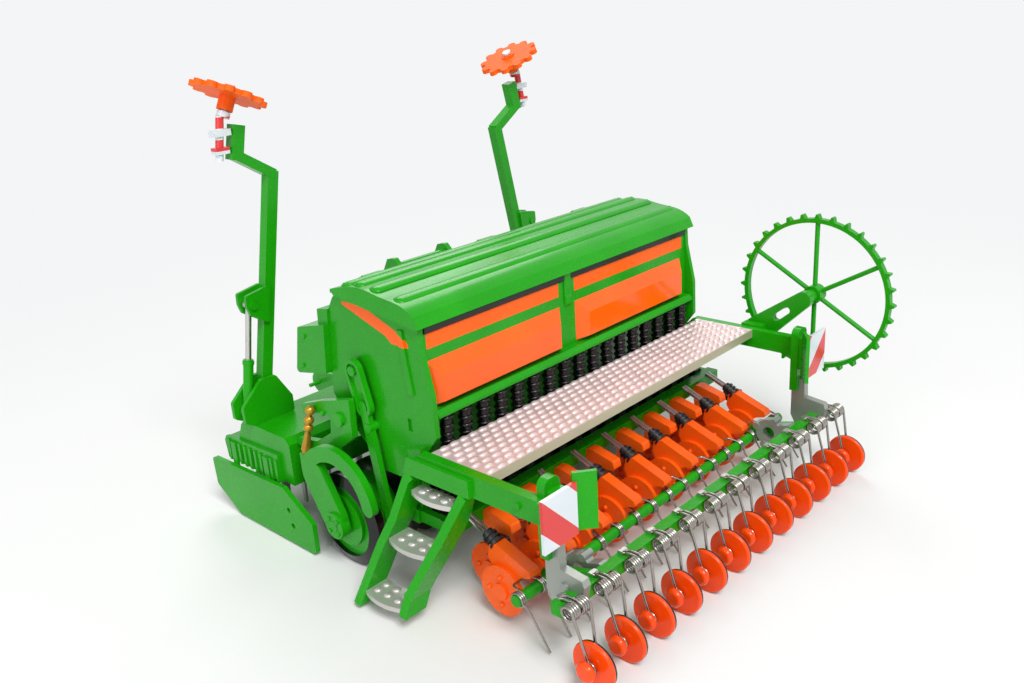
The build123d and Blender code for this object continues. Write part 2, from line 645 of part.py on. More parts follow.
# --- Harrow and roller discs ---------------------------------------------------------
arm_in, arm_out = 39.0, 40.6
post_in, post_out, post_rear, post_front = 38.0, 41.6, -41.0, -39.4
post_low, post_top = 17.7, 31.2
plate_front, plate_rear = -42.2, -42.9
board_in, board_out, board_low, board_high = 36.6, 45.0, 21.2, 30.1
half = rear_tube_size / 2
arm_shape = [(post_front, post_low), (post_rear, post_low), (post_rear, 20.2), (plate_front, 20.2),
             (-42.4, 16.2), (-46.6, 15.7), (-47.0, 14.6), (-46.3, 11.0), (-44.6, 10.0),
             (-40.6, 9.6), (post_front, 11.8)]
clamp_x, clamp_at, clamp_wide, clamp_ring, clamp_hole = 31.4, (-38.9, 10.4), 1.8, 2.9, 1.3
with BuildPart() as harrow_arms:
    add(slab(arm_shape, -arm_out, -arm_in))
    add(rod((-arm_out - 0.5, -43.2, 13.4), (-arm_out, -43.2, 13.4), 0.8))
    low, high = -clamp_x - clamp_wide / 2, -clamp_x + clamp_wide / 2
    add(rod((low, *clamp_at), (high, *clamp_at), clamp_ring))
    add(link(clamp_at, (rear_tube_y + 1.4, rear_tube_z), 1.2, low, high))
    for turn in (20, 110, 200, 290):
        y = clamp_at[0] + clamp_ring * math.cos(math.radians(turn))
        z = clamp_at[1] + clamp_ring * math.sin(math.radians(turn))
        add(rod((low - 0.3, y, z), (high + 0.3, y, z), 0.75))
    with Locations((-clamp_x, *clamp_at)):
        Cylinder(clamp_hole, 6, rotation=(0, 90, 0), mode=Mode.SUBTRACT)
    mirror(about=Plane.YZ)
    add(block(-rear_tube_half, rear_tube_half, rear_tube_y - half, rear_tube_y + half,
              rear_tube_z - half, rear_tube_z + half), mode=Mode.SUBTRACT)
save(harrow_arms.part, "harrow_arms")

# A post at the end of each bar carries a back plate and a wing that turns out behind it.
with BuildPart() as warning_brackets:
    add(web([(-post_out, post_low), (-post_out, post_top), (-post_in, post_top),
             (-post_in, post_low)], post_rear, post_front, 0.0))
    top_edges = warning_brackets.edges().filter_by(Axis.Y).group_by(Axis.Z)[-1]
    fillet(top_edges, 1.4)
    add(block(-post_out + 0.4, -post_in - 0.2, plate_front, post_rear, 22.6, 29.4))
    add(block(-board_out + 0.3, -board_in - 0.3, plate_rear, plate_front, board_low + 0.6,
              board_high - 0.6))
    with BuildSketch(Plane.XY.offset(board_low + 0.4)):
        with BuildLine():
            Polyline(*strip([(-board_in - 0.6, -42.6), (-board_in + 0.4, -43.4), (-34.2, -45.0)], 0.7),
                     close=True)
        make_face()
    extrude(amount=9.8)
    mirror(about=Plane.YZ)
    for side in (-1, 1):
        low, high = sorted((side * bar_inner, side * (bar_outer)))
        add(block(low, high, bar_rear, bar_rear + 6, bar_top - bar_deep, bar_top), mode=Mode.SUBTRACT)
save(warning_brackets.part, "warning_brackets")

with BuildPart() as warning_boards:
    add(block(-board_out, -board_in, plate_rear - 0.6, plate_rear, board_low, board_high))
    with BuildSketch(Plane.XY.offset(board_low - 1)):
        Polygon((-board_in - 0.2, plate_rear - 1.2), (-board_in + 3, plate_rear - 1.2),
                (-board_in + 3, plate_rear + 0.1), (-board_in - 0.9, plate_rear + 0.1),
                align=None)
    extrude(amount=20, mode=Mode.SUBTRACT)
    mirror(about=Plane.YZ)
save(warning_boards.part, "warning_boards")

with BuildPart() as front_tube:
    add(rod((-tube_half, front_tube_y, front_tube_z), (tube_half, front_tube_y, front_tube_z),
            front_tube_radius))
save(front_tube.part, "harrow_front_tube")

cross_xs = (-33.9, 33.9)
with BuildPart() as rear_tube:
    add(block(-rear_tube_half, rear_tube_half, rear_tube_y - half, rear_tube_y + half,
              rear_tube_z - half, rear_tube_z + half))
    for x in cross_xs:
        add(taper((rear_tube_y + half / 2, rear_tube_z), 0.9, (front_tube_y, front_tube_z), 1.9,
                  x - 0.7, x + 0.7))
    with Locations((0, front_tube_y, front_tube_z)):
        Cylinder(front_tube_radius, 100, rotation=(0, 90, 0), mode=Mode.SUBTRACT)
save(rear_tube.part, "harrow_rear_tube")

tine_xs = [tine_shift + (i - (tines - 1) / 2) * tine_pitch for i in range(tines)]
tine_coil, tine_radius, tine_foot = 0.85, 0.35, (-40.4, 0.6)
with BuildPart() as harrow_tines:
    for x in tine_xs:
        with Locations((x, front_tube_y, front_tube_z)):
            Cylinder(coil_radius, 2 * tine_coil, rotation=(0, 90, 0))
        add(rod((x + 0.4, front_tube_y - 1.1, front_tube_z - 0.4), (x + 0.4, *tine_foot),
                tine_radius))
    with Locations((0, front_tube_y, front_tube_z)):
        Cylinder(front_tube_radius, 100, rotation=(0, 90, 0), mode=Mode.SUBTRACT)
save(harrow_tines.part, "harrow_tines")

# A spring above each disc reaches down on both sides of it; the disc's necks turn in its eyes.
coil_y = rear_tube_y - half - coil_radius
eye_in, eye_out, eye_round = disc_half + 0.2, disc_half + 1.0, 1.25
with BuildPart() as springs:
    for x in row_xs:
        add(rod((x - coil_half, coil_y, coil_z), (x + coil_half, coil_y, coil_z), coil_radius))
        for side in (-1, 1):
            low, high = sorted((x + side * eye_in, x + side * eye_out))
            eye_mid = (low + high) / 2
            add(rod((x + side * (coil_half - leg_radius), coil_y - 0.9, coil_z),
                    (eye_mid, disc_y + 0.4, disc_radius + 0.3), leg_radius))
            add(rod((low, disc_y, disc_radius), (high, disc_y, disc_radius), eye_round))
            with Locations((eye_mid, disc_y, disc_radius)):
                Cylinder(neck_radius + fit, 2.4, rotation=(0, 90, 0), mode=Mode.SUBTRACT)
save(springs.part, "disc_springs")

cap_gap, cap_long, cap_round = 0.35, 1.0, 1.7
for i, x in enumerate(row_xs):
    with BuildPart() as disc:
        add(rod((x - disc_half, disc_y, disc_radius), (x + disc_half, disc_y, disc_radius),
                disc_radius))
        fillet(disc.edges().filter_by(GeomType.CIRCLE).sort_by(Axis.X)[0], 0.4)
        add(rod((x - eye_out - cap_gap, disc_y, disc_radius), (x + eye_out, disc_y, disc_radius),
                neck_radius))
        add(button((x - eye_out - cap_gap - cap_long, disc_y, disc_radius),
                   (x - eye_out - cap_gap, disc_y, disc_radius), cap_round, 0.8))
    save(disc.part, f"roller_disc_{i + 1:02d}")

# --- Spur wheel ------------------------------------------------------------------------
swing_in = bar_outer + swing_gap
swing_out = swing_in + swing_thick
with BuildPart() as spur_bracket:
    add(block(bar_outer, swing_in - slip, swing_y - 2.4, swing_y + 2.4, bar_top - bar_deep,
              bar_top + 0.4))
    add(rod((bar_outer, swing_y, swing_z), (swing_out + slip + 0.6, swing_y, swing_z), spur_pin))
    add(rod((swing_out + slip, swing_y, swing_z), (swing_out + slip + 0.6, swing_y, swing_z), 1.5))
save(spur_bracket.part, "spur_wheel_bracket")

hub_in, hub_out = spur_x - 1.5, spur_x + 1.3
slot_share = 0.55
with BuildPart() as spur_arm:
    add(taper((swing_y, swing_z), 3.0, (spur_y, spur_z), 1.8, swing_in, swing_out))
    slot_y = swing_y + slot_share * (spur_y - swing_y)
    slot_z = swing_z + slot_share * (spur_z - swing_z)
    add(link((slot_y + 1.2, slot_z - 1.0), (slot_y - 1.2, slot_z + 1.0), 0.75, swing_in, swing_out),
        mode=Mode.SUBTRACT)
    with Locations((swing_in, swing_y, swing_z)):
        Cylinder(spur_pin + fit, 6, rotation=(0, 90, 0), mode=Mode.SUBTRACT)
    add(rod((swing_out, spur_y, spur_z), (hub_in - slip, spur_y, spur_z), 1.4))
    add(rod((hub_in - slip, spur_y, spur_z), (hub_out + slip + 0.6, spur_y, spur_z), spur_pin))
    add(rod((hub_out + slip, spur_y, spur_z), (hub_out + slip + 0.6, spur_y, spur_z), 1.3))
save(spur_arm.part, "spur_wheel_arm")

rim_inner, rim_half = spur_radius - 0.9, 0.7
spoke_count, spoke_radius = 6, 0.5
with BuildPart() as spur_wheel:
    with BuildSketch(Plane.YZ.offset(spur_x - rim_half)):
        with Locations((spur_y, spur_z)):
            Circle(spur_radius)
            Circle(rim_inner, mode=Mode.SUBTRACT)
    extrude(amount=2 * rim_half)
    add(rod((hub_in, spur_y, spur_z), (hub_out, spur_y, spur_z), 2.0))
    for i in range(spoke_count):
        turn = math.radians(90 + 360 / spoke_count * i)
        reach = spur_radius - 0.4
        add(rod((spur_x, spur_y + 1.5 * math.cos(turn), spur_z + 1.5 * math.sin(turn)),
                (spur_x, spur_y + reach * math.cos(turn), spur_z + reach * math.sin(turn)),
                spoke_radius))
    with BuildSketch(Plane.YZ.offset(spur_x - rim_half)):
        with Locations((spur_y, spur_z)):
            with PolarLocations(spur_radius - 0.2, spur_lugs):
                with Locations((spur_lug / 2 + 0.1, 0)):
                    Trapezoid(1.3, spur_lug + 0.2, 68, rotation=-90)
    extrude(amount=2 * rim_half)
    with Locations((spur_x, spur_y, spur_z)):
        Cylinder(spur_pin + fit, 8, rotation=(0, 90, 0), mode=Mode.SUBTRACT)
save(spur_wheel.part, "spur_wheel")

# --- Row markers -------------------------------------------------------------------------
cheek_near = arm_width / 2 + cheek_gap


def mirrored(part, side):
    """The left marker's piece as it is, or its mirror image for the right."""
    with BuildPart() as piece:
        add(part)
        if side > 0:
            mirror(about=Plane.YZ, mode=Mode.REPLACE)
    return piece.part


def beam(start, end, wide, deep):
    """A rectangular bar between two points, its first side along Y."""
    start, end = Vector(*start), Vector(*end)
    with BuildPart() as piece:
        with BuildSketch(Plane(origin=start, x_dir=(0, 1, 0), z_dir=end - start)):
            Rectangle(wide, deep)
        extrude(amount=(end - start).length)
    return piece.part


def lying(x, z, radius, y_from, y_to):
    return rod((x, y_from, z), (x, y_to, z), radius)


bracket_outline = [(-35.4, trough_top), (-35.4, 25.2), (-38.6, 30.6), (-42.0, 30.6),
                   (-46.8, 26.2), (-46.8, 22.8), (-45.0, trough_top)]
with BuildPart() as marker_bracket:
    for side in (-1, 1):
        low, high = sorted((marker_y + side * cheek_near,
                            marker_y + side * (cheek_near + cheek_thick)))
        add(web(bracket_outline, low, high, 0.6))
    for x, z in ((fold_x, fold_z), (barrel_x, barrel_z)):
        add(lying(x, z, marker_pin, marker_y - cheek_near - cheek_thick,
                  marker_y + cheek_near + cheek_thick))
save(mirrored(marker_bracket.part, -1) + mirrored(marker_bracket.part, 1), "marker_brackets")

lug_gap, lug_thick = arm_width / 2, 0.7
arm_top_y = 35.0
bend_x, bend_z, tube_x, tube_z = -38.6, 74.2, -37.2, 79.6
with BuildPart() as marker_arm:
    add(beam((fold_x, marker_y, fold_z), (elbow_x, arm_top_y, elbow_z), arm_width, arm_width))
    add(lying(fold_x, fold_z, 1.5, marker_y - arm_width / 2, marker_y + arm_width / 2))
    add(beam((elbow_x + 0.25, arm_top_y, elbow_z - 0.7), (bend_x, arm_top_y, bend_z), 2.4, 1.9))
    add(beam((bend_x - 0.1, arm_top_y, bend_z - 0.9), (tube_x, arm_top_y, tube_z), 2.4, 2.4))
    for side in (-1, 1):
        low, high = sorted((marker_y + side * lug_gap, marker_y + side * (lug_gap + lug_thick)))
        add(web([(eye_x - 0.9, eye_z - 1.8), (eye_x - 1.5, eye_z), (eye_x - 1.4, eye_z + 2.2),
                 (eye_x + 4.2, eye_z + 3.2), (eye_x + 3.0, eye_z - 4.4)], low, high, 0.5))
        low, high = sorted((marker_y + side * (lug_gap + lug_thick),
                            marker_y + side * (lug_gap + lug_thick + 0.4)))
        add(lying(eye_x, eye_z, 0.8, low, high))
    with Locations((fold_x, marker_y, fold_z)):
        Cylinder(marker_pin + fit, 8, rotation=(90, 0, 0), mode=Mode.SUBTRACT)

run = math.hypot(eye_x - barrel_x, eye_z - barrel_z)
along_x, along_z = (eye_x - barrel_x) / run, (eye_z - barrel_z) / run


def on_barrel(distance):
    return (barrel_x + along_x * distance, marker_y, barrel_z + along_z * distance)


with BuildPart() as marker_barrel:
    add(rod(on_barrel(0), on_barrel(barrel_length), barrel_radius))
    add(lying(barrel_x, barrel_z, 1.1, marker_y - 1.1, marker_y + 1.1))
    add(rod(on_barrel(barrel_length - 1.0), on_barrel(barrel_length - 0.3), barrel_radius + 0.15))
    add(rod(on_barrel(0), on_barrel(run), piston_radius + fit), mode=Mode.SUBTRACT)
    with Locations((barrel_x, marker_y, barrel_z)):
        Cylinder(marker_pin + fit, 8, rotation=(90, 0, 0), mode=Mode.SUBTRACT)

# The ram's eye carries its own short pin heads, so it can leave the lug as the arm folds.
with BuildPart() as marker_piston:
    add(rod(on_barrel(piston_reach), on_barrel(run), piston_radius))
    add(lying(eye_x, eye_z, 0.95, marker_y - 0.8, marker_y + 0.8))
    add(lying(eye_x, eye_z, marker_pin, marker_y - lug_gap + fit, marker_y + lug_gap - fit))

# Spindle and disc share one axis, tipped from the vertical by marker_tilt
tilt = math.radians(marker_tilt)
lift = Vector(math.sin(tilt), 0, math.cos(tilt))
disc_centre = Vector(marker_disc_x, arm_top_y, marker_disc_z)
disc_plane = Plane(origin=disc_centre, x_dir=(0, 1, 0), z_dir=lift)


def on_spindle(distance):
    return tuple(disc_centre + lift * distance)


rod_low, rod_high = (-41.8, arm_top_y, 73.6), (-40.3, arm_top_y, 81.6)
with BuildPart() as marker_rod:
    add(rod(rod_low, rod_high, 0.75))
    add(rod(on_spindle(-4.4), on_spindle(-3.4), 1.25))
    add(rod(on_spindle(-3.4), on_spindle(1.7), 0.6))
    add(rod(on_spindle(1.25), on_spindle(1.7), 0.95))
    for z in (75.4, 78.6):
        x = tube_x + (bend_x - tube_x) * (tube_z - z) / (tube_z - bend_z)
        add(block(-42.6, x - 1.6, arm_top_y - 1.0, arm_top_y + 1.0, z - 0.6, z + 0.6))
    add(beam((bend_x - 0.1, arm_top_y, bend_z - 0.9), (tube_x, arm_top_y, tube_z), 2.4, 2.4),
        mode=Mode.SUBTRACT)

tooth_count = 12
with BuildPart() as marker_disc:
    with BuildSketch(disc_plane.offset(-0.5)):
        Circle(marker_disc_radius - 0.9)
        with PolarLocations(marker_disc_radius - 1.0, tooth_count):
            SlotCenterToCenter(0.8, 1.9, rotation=0)
    extrude(amount=1.0)
    add(rod(on_spindle(-3.1), on_spindle(0.9), 1.5))
    add(rod(on_spindle(-4), on_spindle(2), 0.6 + fit), mode=Mode.SUBTRACT)

for side, name in ((-1, "left"), (1, "right")):
    save(mirrored(marker_arm.part, side), f"marker_arm_{name}")
    save(mirrored(marker_barrel.part, side), f"marker_barrel_{name}")
    save(mirrored(marker_piston.part, side), f"marker_piston_{name}")
    save(mirrored(marker_rod.part, side), f"marker_rod_{name}")
    save(mirrored(marker_disc.part, side), f"marker_disc_{name}")
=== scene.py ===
# %% [markdown]
# A die-cast model of a seed drill, 1:32
#
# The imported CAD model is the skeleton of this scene: every body, joint and node comes from it
# and keeps its place. This notebook gives each node its finish, adds the small pieces that a
# CAD model would be slow to make, and sets up a plain pale table, soft lamps and a camera.

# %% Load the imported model
import json
import math

import bmesh
import bpy
from mathutils import Matrix, Vector


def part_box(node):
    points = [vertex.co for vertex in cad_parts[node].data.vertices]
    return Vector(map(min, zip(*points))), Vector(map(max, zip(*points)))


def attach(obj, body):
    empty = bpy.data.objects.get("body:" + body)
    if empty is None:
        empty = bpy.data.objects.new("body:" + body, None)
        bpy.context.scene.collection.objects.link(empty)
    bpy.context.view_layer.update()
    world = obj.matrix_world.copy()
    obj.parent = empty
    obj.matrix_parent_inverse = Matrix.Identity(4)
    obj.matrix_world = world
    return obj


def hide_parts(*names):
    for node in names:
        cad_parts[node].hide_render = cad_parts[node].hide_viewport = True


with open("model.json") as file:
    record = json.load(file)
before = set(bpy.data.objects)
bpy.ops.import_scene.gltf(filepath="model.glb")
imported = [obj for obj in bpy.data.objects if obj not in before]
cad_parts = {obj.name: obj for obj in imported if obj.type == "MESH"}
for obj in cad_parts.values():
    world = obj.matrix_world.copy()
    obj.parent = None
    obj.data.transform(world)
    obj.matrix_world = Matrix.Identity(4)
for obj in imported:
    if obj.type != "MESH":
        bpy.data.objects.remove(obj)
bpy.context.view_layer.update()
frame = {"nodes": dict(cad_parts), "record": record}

# %% [markdown]
# The camera comes first, because it decides what is looked at. A small telephoto lens close to
# a small model gives strong but not wide perspective. The picture leans a little, as a hand-held
# shot does, so the camera is built from its three axes instead of from angles alone.

# %% Camera
EYE = Vector((-0.13359, -0.12498, 0.09820))
AZIMUTH, DOWN, ROLL = math.radians(-46.08), math.radians(19.76), math.radians(-3.795)
LENS, SENSOR_WIDTH = 33.40, 36.0

forward = Vector((-math.sin(AZIMUTH) * math.cos(DOWN), math.cos(AZIMUTH) * math.cos(DOWN),
                  -math.sin(DOWN)))
level_right = forward.cross(Vector((0, 0, 1))).normalized()
level_up = level_right.cross(forward)
right = math.cos(ROLL) * level_right + math.sin(ROLL) * level_up
up = -math.sin(ROLL) * level_right + math.cos(ROLL) * level_up

camera = bpy.data.objects.new("camera", bpy.data.cameras.new("camera"))
camera.data.lens = LENS
camera.data.sensor_width = SENSOR_WIDTH
camera.data.clip_start = 0.01
turn = Matrix((right, up, -forward)).transposed().to_4x4()
camera.matrix_world = Matrix.Translation(EYE) @ turn
bpy.context.scene.collection.objects.link(camera)
bpy.context.scene.camera = camera
print("camera looks along", [round(v, 3) for v in forward])

# %% [markdown]
# Materials are wired in Python. A Wire stands for one number that varies over the surface, and
# ordinary arithmetic on it adds the Math nodes. Nodes holds a node tree, and its `node` method
# adds any other kind of node. A Finish is the tree of one material, with its shader.


# %% Arithmetic on shader sockets
class Wire:
    """One varying number in a node tree. Sums and products of wires add Math nodes."""

    def __init__(self, nodes, socket):
        self.nodes, self.socket = nodes, socket

    def math(self, operation, *values):
        return self.nodes.node("ShaderNodeMath", {"operation": operation},
                               dict(enumerate((self, *values))))

    def __add__(self, other):
        return self.math("ADD", other)

    def __sub__(self, other):
        return self.math("SUBTRACT", other)

    def __mul__(self, other):
        return self.math("MULTIPLY", other)

    def __truediv__(self, other):
        return self.math("DIVIDE", other)

    def __rsub__(self, other):
        return self.math("MULTIPLY", -1.0).math("ADD", other)

    def __gt__(self, other):
        return self.math("GREATER_THAN", other)

    def __lt__(self, other):
        return self.math("LESS_THAN", other)

    def __abs__(self):
        return self.math("ABSOLUTE")

    def least(self, other):
        return self.math("MINIMUM", other)

    def most(self, other):
        return self.math("MAXIMUM", other)

    def __mod__(self, other):
        return self.math("FLOORED_MODULO", other)

    __radd__, __rmul__ = __add__, __mul__


class Nodes:
    """A node tree, with one method that adds a node of any kind to it."""

    def __init__(self, tree):
        self.tree = tree

    def node(self, kind, settings, sockets, output=0):
        """`settings` are set first, then each socket gets its value or its wire."""
        made = self.tree.nodes.new(kind)
        for key, value in settings.items():
            setattr(made, key, value)
        for key, value in sockets.items():
            if isinstance(value, Wire):
                self.tree.links.new(value.socket, made.inputs[key])
            else:
                made.inputs[key].default_value = value
        return Wire(self, made.outputs[output])

    def seen_or_mirrored(self):
        """One for what the camera sees and for what a glossy surface mirrors."""
        seen = self.node("ShaderNodeLightPath", {}, {}, "Is Camera Ray")
        return seen.most(self.node("ShaderNodeLightPath", {}, {}, "Is Glossy Ray"))


class Finish(Nodes):
    """One material: its shader, its Object coordinates and the nodes added to it."""

    def __init__(self, name, **shader):
        self.material = bpy.data.materials.new(name)
        self.material.use_nodes = True
        super().__init__(self.material.node_tree)
        self.shader = self.tree.nodes["Principled BSDF"]
        for socket, value in shader.items():
            self.set(socket.replace("_", " "), value)
        self.place = self.node("ShaderNodeTexCoord", {}, {}, "Object")

    def set(self, socket, value):
        target = self.shader.inputs[socket]
        if isinstance(value, Wire):
            self.tree.links.new(value.socket, target)
        else:
            target.default_value = value

    def within(self, low, high, wire):
        """One where a wire lies between two numbers, nought elsewhere."""
        return (wire > low) * (wire < high)

    def axis(self, name):
        return self.node("ShaderNodeSeparateXYZ", {}, {0: self.place}, name)

    def noise(self, scale, detail=2.0):
        return self.node("ShaderNodeTexNoise", {},
                         {"Vector": self.place, "Scale": scale, "Detail": detail}, "Fac")

    def mix(self, factor, first, second):
        return self.node("ShaderNodeMix", {"data_type": "RGBA"},
                         {0: factor, 6: first, 7: second}, 2)

    def bump(self, height, distance):
        self.set("Normal", self.node("ShaderNodeBump", {},
                                     {"Height": height, "Distance": distance}, "Normal"))


print("wires and finishes ready")

# %% [markdown]
# Colours are written as a screen shows them, because that is how a maker picks them. The shader
# counts light instead, so each colour is turned into linear values once, where it is written.


# %% Colours
def linear(red, green, blue):
    """A colour as seen on a screen, 0 to 255, as the shader's linear values."""
    def one(value):
        value /= 255
        return value / 12.92 if value <= 0.04045 else ((value + 0.055) / 1.055) ** 2.4
    return one(red), one(green), one(blue), 1.0


print("a screen's mid grey is", round(linear(128, 128, 128)[0], 3), "in linear light")

# %% [markdown]
# Enamel on a die-cast body is thick and glossy. Its surface is a little wavy, its colour is very
# slightly uneven, and dust in the spray leaves fine specks. One plain colour would look like a
# drawing, so three noises at three scales carry that: waves in the bump, clouds in the colour
# and specks in the roughness. Moulded plastic differs only in its numbers.

# %% Enamel and plastic
MM = 0.001
CLOUD_SCALE, SPECK_SCALE, WAVE_SCALE = 90.0, 1800.0, 260.0
CLOUD_FROM, CLOUD_CONTRAST = 0.35, 1.6
SPECK_DEPTH = 0.10
WAVE_SHARE, SPECK_SHARE = 0.85, 0.15
WAVE_HEIGHT = 0.012 * MM
METAL_PAINT = 0.6


def enamel(name, color, shade, rough, coat=0.1, gloss=0.22, marks=None):
    """`marks` takes the finish and the colour so far, and returns the colour with its marks."""
    finish = Finish(name, Roughness=rough, Coat_Weight=coat, Coat_Roughness=0.08,
                    Specular_IOR_Level=gloss)
    cloud = finish.noise(CLOUD_SCALE, 3.0)
    speck = finish.noise(SPECK_SCALE)
    even = finish.mix((cloud - CLOUD_FROM) * CLOUD_CONTRAST, shade, color)
    finish.set("Base Color", marks(finish, even) if marks else even)
    finish.set("Roughness", (speck - 0.5) * SPECK_DEPTH + rough)
    finish.bump(finish.noise(WAVE_SCALE) * WAVE_SHARE + speck * SPECK_SHARE, WAVE_HEIGHT)
    return finish.material


def part_metal(material, share):
    """Let a share of a finish shine as bare metal does."""
    material.node_tree.nodes["Principled BSDF"].inputs["Metallic"].default_value = share


GREEN, GREEN_SHADE = linear(32, 164, 12), linear(24, 150, 8)
ORANGE, ORANGE_SHADE = linear(255, 104, 2), linear(252, 94, 1)
green_enamel = enamel("green_enamel", GREEN, GREEN_SHADE, 0.26)
cover_orange = enamel("cover_orange", ORANGE, ORANGE_SHADE, 0.18, coat=0.4)
coulter_orange = enamel("coulter_orange", linear(255, 108, 22), linear(250, 92, 14), 0.26)
black_plastic = enamel("black_plastic", linear(10, 10, 11), linear(5, 5, 6), 0.22, gloss=0.4)
gold_paint = enamel("gold_paint", linear(206, 160, 58), linear(168, 122, 36), 0.30)
grey_casting = enamel("grey_casting", linear(178, 182, 176), linear(150, 155, 148), 0.38)
for paint in (gold_paint, grey_casting):
    part_metal(paint, METAL_PAINT)
print("enamels", [m.name for m in bpy.data.materials])

# %% [markdown]
# The hopper is sprayed green and then masked for its orange bands: two along the rear wall, with
# a green gap between them, and one stripe on each cheek that bends with the lid. Thin plates
# laid on the wall would show their edges, so the bands are part of the paint. They are drawn
# with straight lines on Object coordinates, because the mask is cut straight.

# %% Orange bands on the hopper
BAND_LOW, BAND_HIGH = 45.1 * MM, 49.1 * MM
BAND_SPANS = ((-37.8 * MM, -4.1 * MM), (0.5 * MM, 37.4 * MM))
REAR_WALL, CHEEK_FACE = -12.9 * MM, 39.3 * MM
# A line of the cheek's mask: it passes a point (y, z in mm) and climbs by a share.
STRIPE_TOP = ((0.3, 50.9, 0.376), (-9.0, 47.4, 0.778))
STRIPE_FOOT = ((-5.0, 46.5, 0.337), (-5.0, 46.5, 0.81))
STRIPE_HIGHEST, STRIPE_LOWEST = 50.8 * MM, 45.3 * MM
STRIPE_REAR, STRIPE_FRONT = -10.7 * MM, 6.0 * MM


def mask_lines(y, lines):
    """The height of each of the mask's lines at a place along the cheek."""
    return [(y - at * MM) * climb + height * MM for at, height, climb in lines]


def hopper_bands(finish, color):
    x, y, z = (finish.axis(name) for name in "XYZ")
    left, right = (finish.within(low, high, x) for low, high in BAND_SPANS)
    rear = (y < REAR_WALL) * finish.within(BAND_LOW, BAND_HIGH, z) * (left + right)
    front_line, rear_line = mask_lines(y, STRIPE_TOP)
    upper = front_line.least(rear_line).least(STRIPE_HIGHEST)
    front_line, rear_line = mask_lines(y, STRIPE_FOOT)
    lower = front_line.least(rear_line).most(STRIPE_LOWEST)
    stripe = finish.within(STRIPE_REAR, STRIPE_FRONT, y) * ((upper - z) > 0.0)
    cheek = (abs(x) > CHEEK_FACE) * stripe * ((z - lower) > 0.0)
    orange = finish.mix(finish.noise(CLOUD_SCALE), ORANGE_SHADE, ORANGE)
    return finish.mix(rear.most(cheek), color, orange)


hopper_paint = enamel("hopper_paint", GREEN, GREEN_SHADE, 0.26, marks=hopper_bands)
print("bands", [[round(v / MM, 1) for v in span] for span in BAND_SPANS])

# %% [markdown]
# A roller disc is bright orange, with its cap towards the left. Right of a line just past its
# middle it is near-black, which shows as a dark rim. The finish could be made twelve times, once
# for each disc. One is enough, because the discs stand a fixed pitch apart, so the remainder of
# x by that pitch is the place on a disc.

# %% Two-coloured discs
DISC_PITCH = 7.8125
BLACK_FROM = 0.12


def dark_right_side(finish, color):
    pitch = DISC_PITCH * MM
    place_on_disc = ((finish.axis("X") / pitch) % 1.0 - 0.5) * pitch
    return finish.mix(place_on_disc > BLACK_FROM * MM, color, linear(24, 20, 20))


disc_finish = enamel("disc_finish", linear(254, 84, 8), linear(246, 70, 4), 0.20, coat=0.3,
                     marks=dark_right_side)
marker_orange = enamel("marker_orange", linear(255, 110, 16), linear(252, 96, 12), 0.55,
                       coat=0.0)
print("disc pitch", DISC_PITCH, "mm")

# %% [markdown]
# Springs, tines and rams are bare bright metal. A perfect mirror would look like glass, so a
# fine grain breaks the shine up and leaves the metal rougher in some places than in others.

# %% Bright metal
GRAIN_SCALE, TONE_SCALE = 900.0, 160.0
GRAIN_HEIGHT, GRAIN_DEPTH = 0.02 * MM, 0.16
DARKER = 0.86


def bright(name, color, rough, marks=None):
    finish = Finish(name, Metallic=1.0, Roughness=rough)
    grain = finish.noise(GRAIN_SCALE, 3.0)
    base = finish.mix(finish.noise(TONE_SCALE), linear(*color),
                      linear(*[value * DARKER for value in color]))
    finish.set("Base Color", marks(finish, base) if marks else base)
    finish.set("Roughness", grain * GRAIN_DEPTH + rough)
    finish.bump(grain, GRAIN_HEIGHT)
    return finish.material


chrome = bright("chrome", (170, 166, 159), 0.16)
silver = bright("silver", (214, 212, 208), 0.22)
print("metals", chrome.name, silver.name)

# %% [markdown]
# The loading board is a plated moulding: bright on top and dull, almost beige, where its rear
# edge was cut from the sprue. The treads of the steps are plated in the same way. Plating on
# plastic is thin and a little milky, so only a share of it shines as metal.

# %% Plated board
BOARD_EDGE = -28.85 * MM
BOARD_METAL, TREAD_METAL = 0.40, 0.55


def cut_edge(finish, color):
    return finish.mix(finish.axis("Y") < BOARD_EDGE, color, linear(196, 186, 160))


board_plate = bright("board_plate", (244, 222, 220), 0.24, marks=cut_edge)
part_metal(board_plate, BOARD_METAL)
tread_plate = bright("tread_plate", (214, 212, 206), 0.24)
part_metal(tread_plate, TREAD_METAL)
print("plated", board_plate.name, tread_plate.name)

# %% [markdown]
# Each pair of bright rods runs into a black ribbed cap. They are one moulding here, so one
# finish holds both: metal in front of a line across the rods, plastic behind it and below.

# %% Rods and caps
ROD_REAR, ROD_LOW = -24.1 * MM, 14.1 * MM
CAP_ROUGH, ROD_SMOOTHER = 0.26, -0.12
FINE_GRAIN_SCALE, FINE_GRAIN_DEPTH = 1500.0, 0.12


def rods_and_caps():
    finish = Finish("rods_and_caps", Coat_Roughness=0.1)
    metal = (finish.axis("Y") > ROD_REAR) * (finish.axis("Z") > ROD_LOW)
    grain = finish.noise(FINE_GRAIN_SCALE)
    finish.set("Base Color", finish.mix(metal, linear(20, 20, 22), linear(214, 214, 216)))
    finish.set("Metallic", metal)
    finish.set("Roughness", metal * ROD_SMOOTHER + grain * FINE_GRAIN_DEPTH + CAP_ROUGH)
    finish.bump(grain, GRAIN_HEIGHT)
    return finish.material


rod_and_cap = rods_and_caps()
print("split finish", rod_and_cap.name)

# %% [markdown]
# A warning board has broad red and white bands at 45 degrees. On both boards they are measured
# from the top outer corner, inwards and downwards, so the right one is the left one's mirror
# image. The marker rods have plain rings of the same two colours.

